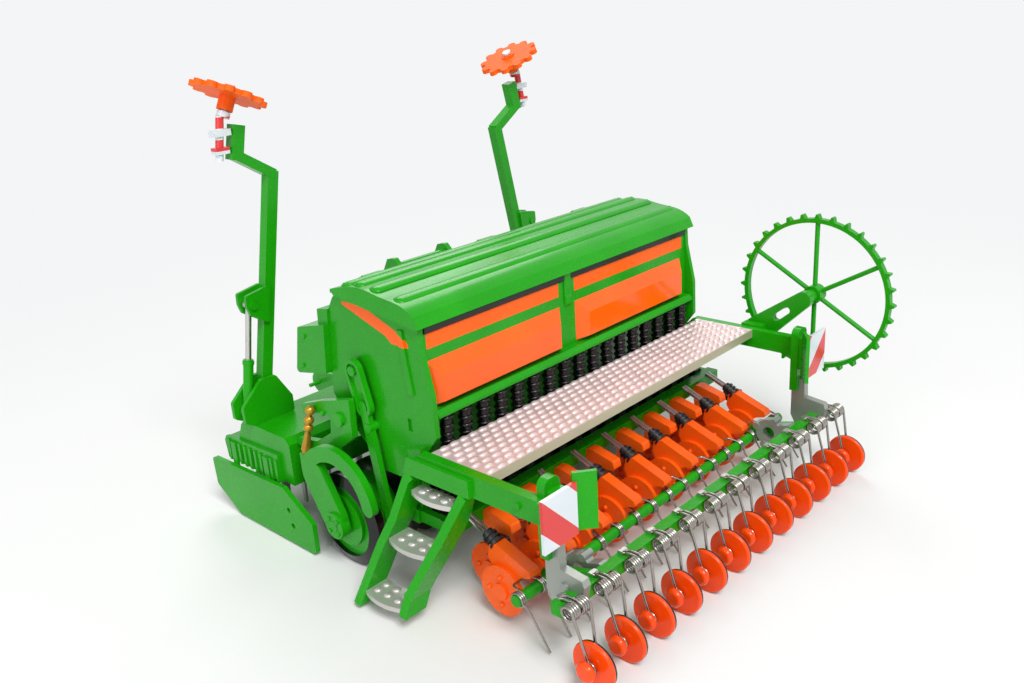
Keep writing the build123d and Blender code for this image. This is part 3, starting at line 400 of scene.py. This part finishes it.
# %% Red and white
RED, RED_SHADE = linear(222, 44, 42), linear(206, 34, 34)
WHITE, WHITE_SHADE = linear(222, 230, 236), linear(206, 214, 220)
BOARD_OUTER, BOARD_TOP = 45.0 * MM, 30.1 * MM
CORNER_BAND, MIDDLE_BAND = -6.1 * MM, 5.4 * MM
RING_FROM, RING_PITCH = 0.6 * MM, 4.0 * MM
STICKER_CLOUD_SCALE, STICKER_GRAIN_SCALE = 120.0, 700.0


def red_and_white(name, red_mask):
    finish = Finish(name, Roughness=0.3, Coat_Weight=0.3, Coat_Roughness=0.1)
    cloud = finish.noise(STICKER_CLOUD_SCALE)
    red = finish.mix(cloud, RED, RED_SHADE)
    white = finish.mix(cloud, WHITE, WHITE_SHADE)
    finish.set("Base Color", finish.mix(red_mask(finish), white, red))
    finish.bump(finish.noise(STICKER_GRAIN_SCALE), GRAIN_HEIGHT)
    return finish.material


def board_bands(finish):
    inwards = BOARD_OUTER - abs(finish.axis("X"))
    downwards = BOARD_TOP - finish.axis("Z")
    across = downwards - inwards
    return (across < CORNER_BAND).most(finish.within(0.0, MIDDLE_BAND, across))


def rod_rings(finish):
    return ((finish.axis("Z") + RING_FROM) / RING_PITCH) % 1.0 < 0.5


board_stripes = red_and_white("board_stripes", board_bands)
rod_stripes = red_and_white("rod_stripes", rod_rings)
print("striped", board_stripes.name, rod_stripes.name)

# %% [markdown]
# The record names a slot for each CAD node, such as green paint or black plastic. A node takes
# its slot's finish, and the few that carry marks or plating of their own take a special one.

# %% Every CAD node gets its finish
finishes = {
    "black_plastic": black_plastic, "gold_metal": gold_paint, "orange_plastic": coulter_orange,
    "red_orange_plastic": marker_orange, "silver_plastic": silver, "grey_metal": grey_casting,
    "green_paint": green_enamel, "striped_plastic": board_stripes,
}
slots = {row["node"]: row["material_slot"] for row in frame["record"]["subparts"]}
for name, node in frame["nodes"].items():
    node.data.materials.clear()
    node.data.materials.append(finishes[slots[name]])
special = {"hopper": hopper_paint, "metering_covers": cover_orange, "loading_board": board_plate,
           "step_treads": tread_plate, "coulter_rods": rod_and_cap, "marker_rod_left": rod_stripes,
           "marker_rod_right": rod_stripes, "marker_disc_left": marker_orange,
           "marker_disc_right": marker_orange}
special.update({name: disc_finish for name in frame["nodes"] if name.startswith("roller_disc_")})
for name, finish in special.items():
    frame["nodes"][name].data.materials[0] = finish
print("finished nodes", len(frame["nodes"]), "of them special", len(special))

# %% [markdown]
# Small pieces repeat by the dozen, so one Geometry Nodes tree lays them all. It puts a piece on
# each vertex of a little mesh of places, turned and stretched by two attributes of that vertex,
# then makes the copies real and gives them their finish. The result is kept as a plain mesh.


# %% A tree that repeats one piece
def repeat_tree():
    tree = bpy.data.node_groups.new("repeat_piece", "GeometryNodeTree")
    face = tree.interface
    face.new_socket("Places", in_out="INPUT", socket_type="NodeSocketGeometry")
    ids = {}
    for label, kind in (("Piece", "NodeSocketObject"), ("Size", "NodeSocketFloat"),
                        ("Finish", "NodeSocketMaterial")):
        ids[label] = face.new_socket(label, in_out="INPUT", socket_type=kind).identifier
    face.new_socket("Result", in_out="OUTPUT", socket_type="NodeSocketGeometry")
    kinds = ("NodeGroupInput", "GeometryNodeObjectInfo", "GeometryNodeInputNamedAttribute",
             "GeometryNodeInputNamedAttribute", "ShaderNodeVectorMath",
             "GeometryNodeInstanceOnPoints", "GeometryNodeRealizeInstances",
             "GeometryNodeSetMaterial", "NodeGroupOutput")
    given, piece, turn, stretch, scaled, instances, real, finish, result = (
        tree.nodes.new(kind) for kind in kinds)
    for node, attribute in ((turn, "turn"), (stretch, "stretch")):
        node.data_type = "FLOAT_VECTOR"
        node.inputs["Name"].default_value = attribute
    scaled.operation = "SCALE"
    links = (
        (given, "Piece", piece, "Object"), (given, "Size", scaled, "Scale"),
        (given, "Places", instances, "Points"), (piece, "Geometry", instances, "Instance"),
        (turn, "Attribute", instances, "Rotation"), (stretch, "Attribute", scaled, 0),
        (scaled, "Vector", instances, "Scale"), (instances, "Instances", real, "Geometry"),
        (real, "Geometry", finish, "Geometry"), (given, "Finish", finish, "Material"),
        (finish, "Geometry", result, "Result"))
    for source, out, target, into in links:
        tree.links.new(source.outputs[out], target.inputs[into])
    return tree, ids


REPEAT, REPEAT_IDS = repeat_tree()
print("tree", REPEAT.name, REPEAT_IDS)


# %% Lay a piece at many places
UPRIGHT, LEFT, RIGHT = (0, 0, 0), (0, -90, 0), (0, 90, 0)
AS_DRAWN = (1, 1, 1)


def repeat(name, piece, places, finish, body="machine"):
    """`places` holds (location in mm, turn in degrees, stretch) for each copy."""
    spots = bpy.data.meshes.new(name + "_places")
    spots.from_pydata([[v * MM for v in place[0]] for place in places], [], [])
    for label, index in (("turn", 1), ("stretch", 2)):
        values = spots.attributes.new(label, "FLOAT_VECTOR", "POINT")
        for spot, place in zip(values.data, places):
            value = place[index]
            spot.vector = [math.radians(v) for v in value] if label == "turn" else value
    made = bpy.data.objects.new(name + "_layout", spots)
    bpy.context.scene.collection.objects.link(made)
    layer = made.modifiers.new("repeat", "NODES")
    layer.node_group = REPEAT
    for label, value in (("Piece", piece), ("Size", 1.0), ("Finish", finish)):
        layer[REPEAT_IDS[label]] = value
    plain = flatten(made, name)
    for used in (made, piece):
        bpy.data.objects.remove(used)
    plain.data.materials.clear()
    plain.data.materials.append(finish)
    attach(plain, body)
    print(name, len(places), "copies,", len(plain.data.polygons), "faces")
    return plain


def flatten(source, name):
    """A new object with the mesh that a source's modifiers or curve bevel give."""
    view = bpy.context.evaluated_depsgraph_get()
    view.update()
    mesh = bpy.data.meshes.new_from_object(source.evaluated_get(view))
    plain = bpy.data.objects.new(name, mesh)
    bpy.context.scene.collection.objects.link(plain)
    return plain


def spread(count, pitch):
    """Places a pitch apart, as many on the left of the middle as on the right."""
    return [(i - (count - 1) / 2) * pitch for i in range(count)]


def in_row(xs):
    """Places for a piece that is drawn at its height and depth and repeats across the width."""
    return [((x, 0, 0), UPRIGHT, AS_DRAWN) for x in xs]


print("laying and flattening ready")

# %% [markdown]
# A small piece is drawn as rows of points, each row a closed outline, and a skin of four-sided
# faces joins them. The same few lines make a dome, a screw head, a bar of any section and a
# hoop, and they keep each piece down to the few faces that a repeated piece may have.


# %% Pieces from rows of points
def solid(name, build, smooth=True):
    """A mesh object made by `build`, which works on an empty bmesh in millimetres."""
    work = bmesh.new()
    build(work)
    bmesh.ops.recalc_face_normals(work, faces=work.faces[:])
    bmesh.ops.scale(work, vec=(MM, MM, MM), verts=work.verts)
    mesh = bpy.data.meshes.new(name)
    work.to_mesh(mesh)
    work.free()
    if smooth:
        mesh.shade_smooth()
    made = bpy.data.objects.new(name, mesh)
    bpy.context.scene.collection.objects.link(made)
    return made


def skin(work, rows, hoop=False):
    """Join rows of points to a solid with flat ends, or to a hoop that closes on itself."""
    rings = [[work.verts.new(point) for point in row] for row in rows]
    for here, there in zip(rings, rings[1:] + rings[:1] if hoop else rings[1:]):
        for k in range(len(here)):
            after = (k + 1) % len(here)
            work.faces.new((here[k], here[after], there[after], there[k]))
    if not hoop:
        work.faces.new(list(reversed(rings[0])))
        work.faces.new(rings[-1])


def circle(count):
    """Cosine and sine of angles spaced evenly round a circle."""
    angles = [2 * math.pi * k / count for k in range(count)]
    return [(math.cos(angle), math.sin(angle)) for angle in angles]


def turned(profile, sides):
    """Build a closed solid of revolution about Z from (radius, height) points, bottom first."""
    def build(work):
        skin(work, [[(radius * c, radius * s, height) for c, s in circle(sides)]
                    for radius, height in profile])
    return build


def hoop(radius, thick, around, section):
    """Build a round ring about Z with a round section."""
    def build(work):
        skin(work, [[((radius + thick * u) * c, (radius + thick * u) * s, thick * v)
                     for u, v in circle(section)] for c, s in circle(around)], hoop=True)
    return build


def bar(outline, half):
    """Build a straight bar along X, `half` long to each side, from its (y, z) outline."""
    def build(work):
        skin(work, [[(x, y, z) for y, z in outline] for x in (-half, half)])
    return build


print("a circle of four", [tuple(round(v, 3) for v in pair) for pair in circle(4)])

# %% [markdown]
# The pips on the loading board are long drops in staggered rows, so that every foot finds
# an edge. Each is a low dome of a few faces: their number makes the look, not their shape.

# %% Pips on the loading board
DOME = [(0.98, -0.06), (1.0, 0.0), (0.90, 0.42), (0.66, 0.75), (0.32, 0.95), (0.08, 1.0)]
PIP_PITCH, PIP_ROWS, PIP_ROW_PITCH = 2.3, 8, 1.72
PIP_INSET, PIP_END, FIRST_ROW = 1.3, 0.6, 0.85
PIP_SIDES, PIP_STRETCH = 10, (1.05, 0.68, 0.40)
board_low, board_high = ([v / MM for v in corner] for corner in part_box("loading_board"))
pips = []
for row in range(PIP_ROWS):
    y = board_low[1] + FIRST_ROW + row * PIP_ROW_PITCH
    first = board_low[0] + PIP_INSET + (row % 2) * PIP_PITCH / 2
    for k in range(int((board_high[0] - PIP_END - first) / PIP_PITCH) + 1):
        pips.append(((first + k * PIP_PITCH, y, board_high[2]), UPRIGHT, PIP_STRETCH))
repeat("board_pips", solid("pip", turned(DOME, PIP_SIDES)), pips, board_plate)

# %% [markdown]
# Each tread of the steps carries six round dots, two abreast. Towards its foot the ladder runs
# outwards and forwards, so the treads' places follow from their heights.

# %% Dots on the treads
TREAD_LEVELS = (22.0, 13.3, 3.8)
TREAD_OUTER, OUTWARD_LEAN, TREAD_WIDE, TREAD_INNER = -53.0, 0.4, 4.4, -41.6
TREAD_BACK, BACKWARD_LEAN, LADDER_FOOT = -15.2, 0.36, 0.9
DOT_ROWS, DOT_ROW_PITCH, FIRST_DOT, DOT_EDGE = 3, 2.7, 2.2, 0.3
DOT_SIDES, DOT_STRETCH = 12, (0.8, 0.85, 0.38)
tread_dots = []
for z in TREAD_LEVELS:
    outer = TREAD_OUTER + OUTWARD_LEAN * z
    inner = min(outer + TREAD_WIDE, TREAD_INNER)
    back = TREAD_BACK - (z - LADDER_FOOT) * BACKWARD_LEAN
    for row in range(DOT_ROWS):
        for share in (0.25, 0.75):
            x = outer + DOT_EDGE + (inner - outer - 2 * DOT_EDGE) * share
            tread_dots.append(((x, back + FIRST_DOT + DOT_ROW_PITCH * row, z), UPRIGHT,
                               DOT_STRETCH))
repeat("tread_dots", solid("dot", turned(DOME, DOT_SIDES)), tread_dots, tread_plate)

# %% [markdown]
# The springs are bent from one wire each. A wire is a curve through points worked out here,
# with a round bevel, so its coils, legs and eyes are one unbroken form, as they are in steel.
# These wires replace the plain solids that hold their place in the CAD model.


# %% Bent wire
def wire(name, points, radius):
    """A mesh tube of a radius in mm through points in mm, its ends closed."""
    curve = bpy.data.curves.new(name, "CURVE")
    curve.dimensions = "3D"
    curve.bevel_depth, curve.bevel_resolution, curve.use_fill_caps = radius * MM, 2, True
    run = curve.splines.new("POLY")
    run.points.add(len(points) - 1)
    for point, place in zip(run.points, points):
        point.co = (*[v * MM for v in place], 1.0)
    run.use_smooth = True
    drawn = bpy.data.objects.new(name + "_curve", curve)
    bpy.context.scene.collection.objects.link(drawn)
    made = flatten(drawn, name)
    bpy.data.objects.remove(drawn)
    made.data.shade_smooth()
    return made


def coil(x_from, x_to, y, z, radius, start, turns, steps=14):
    """Points of a coil about an axis along X; `start` in degrees, 0 to the front, 90 up."""
    count = int(abs(turns) * steps)
    points = []
    for k in range(count + 1):
        share = k / count
        angle = math.radians(start + 360 * turns * share)
        points.append((x_from + (x_to - x_from) * share, y + radius * math.cos(angle),
                       z + radius * math.sin(angle)))
    return points


print("one turn of a coil has", len(coil(0, 1, 0, 0, 1, 0, 1)), "points")

# %% [markdown]
# A roller disc hangs in a double spring: an eye at each side of the disc, a leg up from each,
# a coil at each side of the arm, and one loop that joins the coils. One half is worked out and
# used for both sides, which keeps the wire even.

# %% Double springs of the roller discs
ROW_XS = spread(12, DISC_PITCH)
COIL_Y, COIL_Z, COIL_RING = -47.15, 12.6, 1.2
DISC_Y, DISC_Z, EYE_RING = -50.3, 3.96, 1.0
EYE_SIDE, COIL_OUTER, COIL_INNER = 1.05, 2.02, 0.42
EYE_START, EYE_TURNS, EYE_STEPS = 200, -1.35, 16
COIL_START, COIL_TURNS = 180, -3.25
LEG_SHARES = (0.12, 0.5, 0.9, 0.97)
# The loop's half, from its coil: place across, then forward and up from the coil's middle.
LOOP = ((0.42, 1.7, 1.2), (0.35, 2.6, 0.95))
SPRING_WIRE = 0.25


def spring_half(side):
    """From the eye at the disc, up the leg, through the coil and half round the loop."""
    at_disc, outer, inner = side * EYE_SIDE, side * COIL_OUTER, side * COIL_INNER
    eye = coil(at_disc, at_disc, DISC_Y, DISC_Z, EYE_RING, EYE_START, EYE_TURNS, EYE_STEPS)
    leg_top = (outer, COIL_Y - COIL_RING, COIL_Z)
    leg = [tuple(a + (b - a) * share for a, b in zip(eye[-1], leg_top)) for share in LEG_SHARES]
    winding = coil(outer, inner, COIL_Y, COIL_Z, COIL_RING, COIL_START, COIL_TURNS)
    loop = [(side * across, COIL_Y + forward, COIL_Z + above) for across, forward, above in LOOP]
    return eye + leg + winding + loop


spring = wire("spring", spring_half(-1) + spring_half(1)[::-1], SPRING_WIRE)
springs = repeat("wire_springs", spring, in_row(ROW_XS), chrome)
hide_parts("disc_springs")

# %% [markdown]
# The tines of the harrow are bent in pairs: a leg up from the floor, a coil round the front
# tube, and a straight bar across to the neighbour. Seventeen tines are eight pairs and one half.

# %% Double tines on the front tube
TINE_PITCH, TINE_PAIRS, TINE_MIDDLE = 5.2, 8, -0.5
TINE_FIRST = TINE_MIDDLE - TINE_PAIRS * TINE_PITCH
TUBE_Y, TUBE_Z, TINE_RING, TINE_WIRE = -34.6, 8.3, 1.24, 0.2
TINE_START, TINE_TURNS, TINE_COIL_HALF = 180, -2.25, 0.45
TINE_LEG = ((0.4, -40.4, 0.6), (0.4, -39.6, 1.7), (0.4, -37.6, 4.9),
            (0.2, TUBE_Y - TINE_RING - 0.35, TUBE_Z - 1.2))
CROSSBAR_Y, CROSSBAR_Z = TUBE_Y + 1.9, TUBE_Z + 1.5
CROSSBAR_END = ((0.7, -0.3), (1.0, 0.0))


def tine(x, side):
    """From its tip on the floor up to the tube, and round it."""
    leg = [(x + across, y, z) for across, y, z in TINE_LEG]
    return leg + coil(x - side * TINE_COIL_HALF, x + side * TINE_COIL_HALF, TUBE_Y, TUBE_Z,
                      TINE_RING, TINE_START, TINE_TURNS)


def crossbar(x, side):
    """From the coil of a tine to where the crossbar runs straight."""
    return [(x + side * across, CROSSBAR_Y + forward, CROSSBAR_Z)
            for across, forward in CROSSBAR_END]


left_half = tine(0.0, 1) + crossbar(0.0, 1)
right_half = tine(TINE_PITCH, -1) + crossbar(TINE_PITCH, -1)
tine_pair = wire("tine_pair", left_half + right_half[::-1], TINE_WIRE)
pair_xs = [TINE_FIRST + 2 * k * TINE_PITCH for k in range(TINE_PAIRS)]
tines = repeat("wire_tines", tine_pair, in_row(pair_xs), chrome)
tine_single = wire("tine_single", left_half[:-1], TINE_WIRE)
repeat("wire_tine_last", tine_single, in_row([TINE_FIRST + 2 * TINE_PAIRS * TINE_PITCH]), chrome)
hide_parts("harrow_tines")

# %% [markdown]
# The hoses are soft bellows: black, glossy, with ribs 0.8 mm apart. The ribs are hoops laid
# along each hose, square to its run, so they lean with it where it bends to its coulter.

# %% Ribs on the hoses
COULTER_PITCH = 9.5
FRONT_XS, REAR_XS = spread(8, COULTER_PITCH), spread(9, COULTER_PITCH)
HOSE_Y, HOSE_SPREAD = -14.0, 0.94
HOSE_HEIGHTS = (33.4, 25.0, 21.0, 21.0, 17.4)
HOSE_RIBS, RUN_STEP = 20, 0.01
RIB_RADIUS, RIB_THICK, RIB_SIDES, RIB_CORNERS = 1.0, 0.34, 14, 6


def hose_point(x, share):
    """A point of the hose to the boot at x, from its top at 0 to its foot at 1."""
    top = x * HOSE_SPREAD
    across = (top, top, top, x, x)
    weights = [math.comb(4, k) * share ** k * (1 - share) ** (4 - k) for k in range(5)]
    return (sum(w * v for w, v in zip(weights, across)), HOSE_Y,
            sum(w * v for w, v in zip(weights, HOSE_HEIGHTS)))


ribs = []
for x in sorted(REAR_XS + FRONT_XS):
    for k in range(HOSE_RIBS):
        share = (k + 0.5) / HOSE_RIBS
        here, there = hose_point(x, share), hose_point(x, share + RUN_STEP)
        lean = math.degrees(math.atan2(there[0] - here[0], here[2] - there[2]))
        ribs.append((here, (0, -lean, 0), AS_DRAWN))
rib = solid("rib", hoop(RIB_RADIUS, RIB_THICK, RIB_SIDES, RIB_CORNERS))
repeat("hose_ribs", rib, ribs, black_plastic)

# %% [markdown]
# Heads of screws are where two castings meet. The hexagon keeps its flat sides, with a chamfer
# on top, and stands on a thin washer. It is turned like a dome, only with six sides and no
# smoothing, so the edges stay crisp.

# %% Screws
HEX = [(0.62, -0.1), (0.62, 0.12), (0.52, 0.12), (0.52, 0.42), (0.44, 0.5)]
BAR_FACE, BAR_SCREWS = 42.7, ((-36.5, 26.2), (-14.6, 26.4))
CARRIER_FACE, CARRIER_SCREWS = 43.0, ((11.2, 29.4), (16.0, 28.6))
HOUSING_FACE, HOUSING_SCREWS = -41.0, ((16.8, 42.6), (18.4, 36.6))
HOUSING_STRETCH = (0.8, 0.8, 0.8)
green_screws = []
for face, screws in ((BAR_FACE, BAR_SCREWS), (CARRIER_FACE, CARRIER_SCREWS)):
    for y, z in screws:
        green_screws += [((-face, y, z), LEFT, AS_DRAWN), ((face, y, z), RIGHT, AS_DRAWN)]
for y, z in HOUSING_SCREWS:
    green_screws.append(((HOUSING_FACE, y, z), LEFT, HOUSING_STRETCH))
repeat("green_screws", solid("hex", turned(HEX, 6), smooth=False), green_screws, green_enamel)

# %% [markdown]
# Four rivets hold each coulter's disc. Their round heads sit on the flat ones of the CAD model,
# and use the same low dome as the pips, so one profile gives both their soft edge.

# %% Rivets on the coulters
RIVET_CIRCLE, RIVET_FACE = 2.6, -2.15
RIVET_SIDES, RIVET_STRETCH = 12, (0.46, 0.46, 0.34)
COULTER_ROWS = ((FRONT_XS, -21.4, 5.4), (REAR_XS, -28.6, 6.2))
coulter_rivets = []
for xs, y, z in COULTER_ROWS:
    for x in xs:
        for across, rise in circle(4):
            coulter_rivets.append(((x + RIVET_FACE, y + RIVET_CIRCLE * across,
                                    z + RIVET_CIRCLE * rise), LEFT, RIVET_STRETCH))
repeat("coulter_rivets", solid("rivet", turned(DOME, RIVET_SIDES)), coulter_rivets, coulter_orange)

# %% [markdown]
# A bright clip holds each spring to the square tube, over the loop between its two coils. It is
# bent from flat strip, so one outline drawn out along X is its whole shape.

# %% Clips over the springs
CLIP = [(-0.55, 0.0), (-0.55, 0.5), (-0.35, 0.8), (0.35, 0.8), (0.55, 0.5), (0.55, 0.0)]
CLIP_HALF, CLIP_Y, CLIP_Z = 0.75, -44.3, 13.05
repeat("spring_clips", solid("saddle", bar(CLIP, CLIP_HALF), smooth=False),
       [((x, CLIP_Y, CLIP_Z), UPRIGHT, AS_DRAWN) for x in ROW_XS], silver)

# %% [markdown]
# A green strap comes down the middle of the hopper's rear wall, between the two bands. It holds
# the lid shut, so it is a separate thin bar with rounded long edges, and a small hook at its foot.
# One outline is laid at a few heights, and its depth at each height makes the hook.

# %% Strap between the bands
STRAP = [(-0.95, 0.0), (-0.95, 0.35), (-0.7, 0.65), (0.7, 0.65), (0.95, 0.35), (0.95, 0.0)]
STRAP_X, STRAP_WALL = -1.7, -13.2
STRAP_DEPTHS = ((42.9, 0.3), (43.3, 1.0), (44.6, 1.0), (45.2, 0.8), (49.2, 0.8))


def strap(work):
    skin(work, [[(STRAP_X + across, STRAP_WALL - out * depth, z) for across, out in STRAP]
                for z, depth in STRAP_DEPTHS])


lid_strap = solid("lid_strap", strap, smooth=False)
lid_strap.data.materials.append(green_enamel)
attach(lid_strap, "machine")
print("strap", len(lid_strap.data.polygons), "faces")

# %% [markdown]
# A black strip runs along the top of the hopper's rear wall, just under the edge of the lid. It is
# painted shadow, standing in for the shade under the lid's overhang. It stands proud of the wall
# by less than a millimetre, with both its long edges taken off.

# %% Painted shadow under the lid
SHADOW_STRIP = [(-13.1, 47.8), (-13.4, 47.85), (-13.55, 48.05), (-13.55, 48.95), (-13.4, 49.1),
       (-13.1, 49.15)]
SHADOW_STRIP_HALF = 38.2
# Painted shadow: a black strip standing in for the shade under the lid's edge.
hopper_lip = solid("hopper_lip", bar(SHADOW_STRIP, SHADOW_STRIP_HALF), smooth=False)
hopper_lip.data.materials.append(black_plastic)
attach(hopper_lip, "machine")
print("lip", len(hopper_lip.data.polygons), "faces")

# %% [markdown]
# The lid is pressed into four broad steps that run its whole length and run out softly at both
# ends. Each is a low swage over one of the lid's fine ridges, laid square to the lid's curve.
# A bump could draw them, but their outline shows against the light, so they are real shapes.

# %% Steps along the lid
LID_STEPS = ((4.8, 53.70, -12.0), (1.2, 54.22, -3.5), (-3.0, 54.05, 7.0), (-8.9, 53.12, 9.0))
SWAGE = [(-1.55, -0.15), (-1.2, 0.22), (-0.75, 0.5), (0.55, 0.54), (1.05, 0.34), (1.55, -0.15)]
STEP_HALF = 39.8
# How far in from an end, and the share of the full swage that is reached there.
STEP_END = ((0.0, 0.3), (0.5, 0.85), (1.2, 1.0))


def lid_swages(work):
    left = [(-STEP_HALF + inset, share) for inset, share in STEP_END]
    stations = left + [(-x, share) for x, share in reversed(left)]
    for y, z, slope in LID_STEPS:
        c, s = math.cos(math.radians(slope)), math.sin(math.radians(slope))
        skin(work, [[(x, y + (u * c - v * s) * share, z + (u * s + v * c) * share)
                     for u, v in SWAGE] for x, share in stations])


lid_steps = solid("lid_steps", lid_swages)
lid_steps.data.materials.append(green_enamel)
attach(lid_steps, "lid")
print("steps", len(LID_STEPS), "faces", len(lid_steps.data.polygons))

# %% [markdown]
# The table is a plain pale floor, one large square. It is no part of the model.

# %% Floor
FLOOR_HALF = 3.0
floor_mesh = bpy.data.meshes.new("floor")
floor_mesh.from_pydata([(-FLOOR_HALF, -FLOOR_HALF, 0), (FLOOR_HALF, -FLOOR_HALF, 0),
                        (FLOOR_HALF, FLOOR_HALF, 0), (-FLOOR_HALF, FLOOR_HALF, 0)], [],
                       [(0, 1, 2, 3)])
floor = bpy.data.objects.new("floor", floor_mesh)
bpy.context.scene.collection.objects.link(floor)
print("floor", 2 * FLOOR_HALF, "m wide")

# %% [markdown]
# Far from the model the floor turns into the same white as the background, only for what the
# camera sees or a glossy paint mirrors, so no horizon shows and no extra light falls on the
# model. Its shadow stays, because near the model the floor is matt.

# %% Floor that fades into the background
BACKDROP = linear(244, 245, 246)
FADE_FROM, FADE_OVER = 0.10, 0.22
FLOOR_COLOR, FLOOR_SHADE = linear(236, 236, 235), linear(231, 231, 230)
FLOOR_CLOUD_SCALE = 12.0
floor_finish = Finish("floor", Roughness=0.8)
cloud = floor_finish.noise(FLOOR_CLOUD_SCALE)
floor_finish.set("Base Color", floor_finish.mix(cloud, FLOOR_COLOR, FLOOR_SHADE))
away = floor_finish.node("ShaderNodeVectorMath", {"operation": "LENGTH"},
                         {0: floor_finish.place}, "Value")
fade = ((away - FADE_FROM) / FADE_OVER).most(0.0).least(1.0) * floor_finish.seen_or_mirrored()
matt = Wire(floor_finish, floor_finish.shader.outputs[0])
glow = floor_finish.node("ShaderNodeEmission", {}, {"Color": BACKDROP})
blend = floor_finish.node("ShaderNodeMixShader", {}, {0: fade, 1: matt, 2: glow})
floor_finish.tree.links.new(blend.socket,
                            floor_finish.tree.nodes["Material Output"].inputs["Surface"])
floor_mesh.materials.append(floor_finish.material)
print("floor fades over", FADE_OVER, "m")

# %% [markdown]
# Three soft lamps: a broad key over the camera's left shoulder, a fill from the left front, and
# a rim from behind. They are wide and not close, so gloss paint shows them as soft patches.

# %% Lamps
LAMP_AIM = Vector((0, 0, 0.03))
LAMPS = (("key", (-0.35, -0.75, 1.05), 0.60, 14.0), ("fill", (-1.00, -0.20, 0.50), 0.70, 3.0),
         ("rim", (0.60, 0.60, 0.80), 0.60, 3.5))
for name, place, wide, power in LAMPS:
    data = bpy.data.lights.new(name, "AREA")
    data.shape, data.size, data.energy = "DISK", wide, power
    lamp = bpy.data.objects.new(name, data)
    lamp.location = place
    lamp.rotation_euler = (LAMP_AIM - Vector(place)).to_track_quat("-Z", "Y").to_euler()
    bpy.context.scene.collection.objects.link(lamp)

# %% [markdown]
# The sky lights every shadow a little. What the camera sees of it is not the sky's own grey but
# the floor's far white, so the two meet without a line.

# %% Sky
SKY_COLOR, SKY_STRENGTH = linear(240, 242, 244), 0.42
world = bpy.data.worlds.new("studio")
bpy.context.scene.world = world
world.use_nodes = True
sky = Nodes(world.node_tree)
light = sky.tree.nodes["Background"]
light.inputs["Color"].default_value = SKY_COLOR
light.inputs["Strength"].default_value = SKY_STRENGTH
backdrop = sky.node("ShaderNodeBackground", {}, {"Color": BACKDROP})
pick = sky.node("ShaderNodeMixShader", {}, {0: sky.seen_or_mirrored(),
                                            1: Wire(sky, light.outputs[0]), 2: backdrop})
sky.tree.links.new(pick.socket, sky.tree.nodes["World Output"].inputs["Surface"])
bpy.context.scene.view_settings.view_transform = "Standard"
print("view transform", bpy.context.scene.view_settings.view_transform)
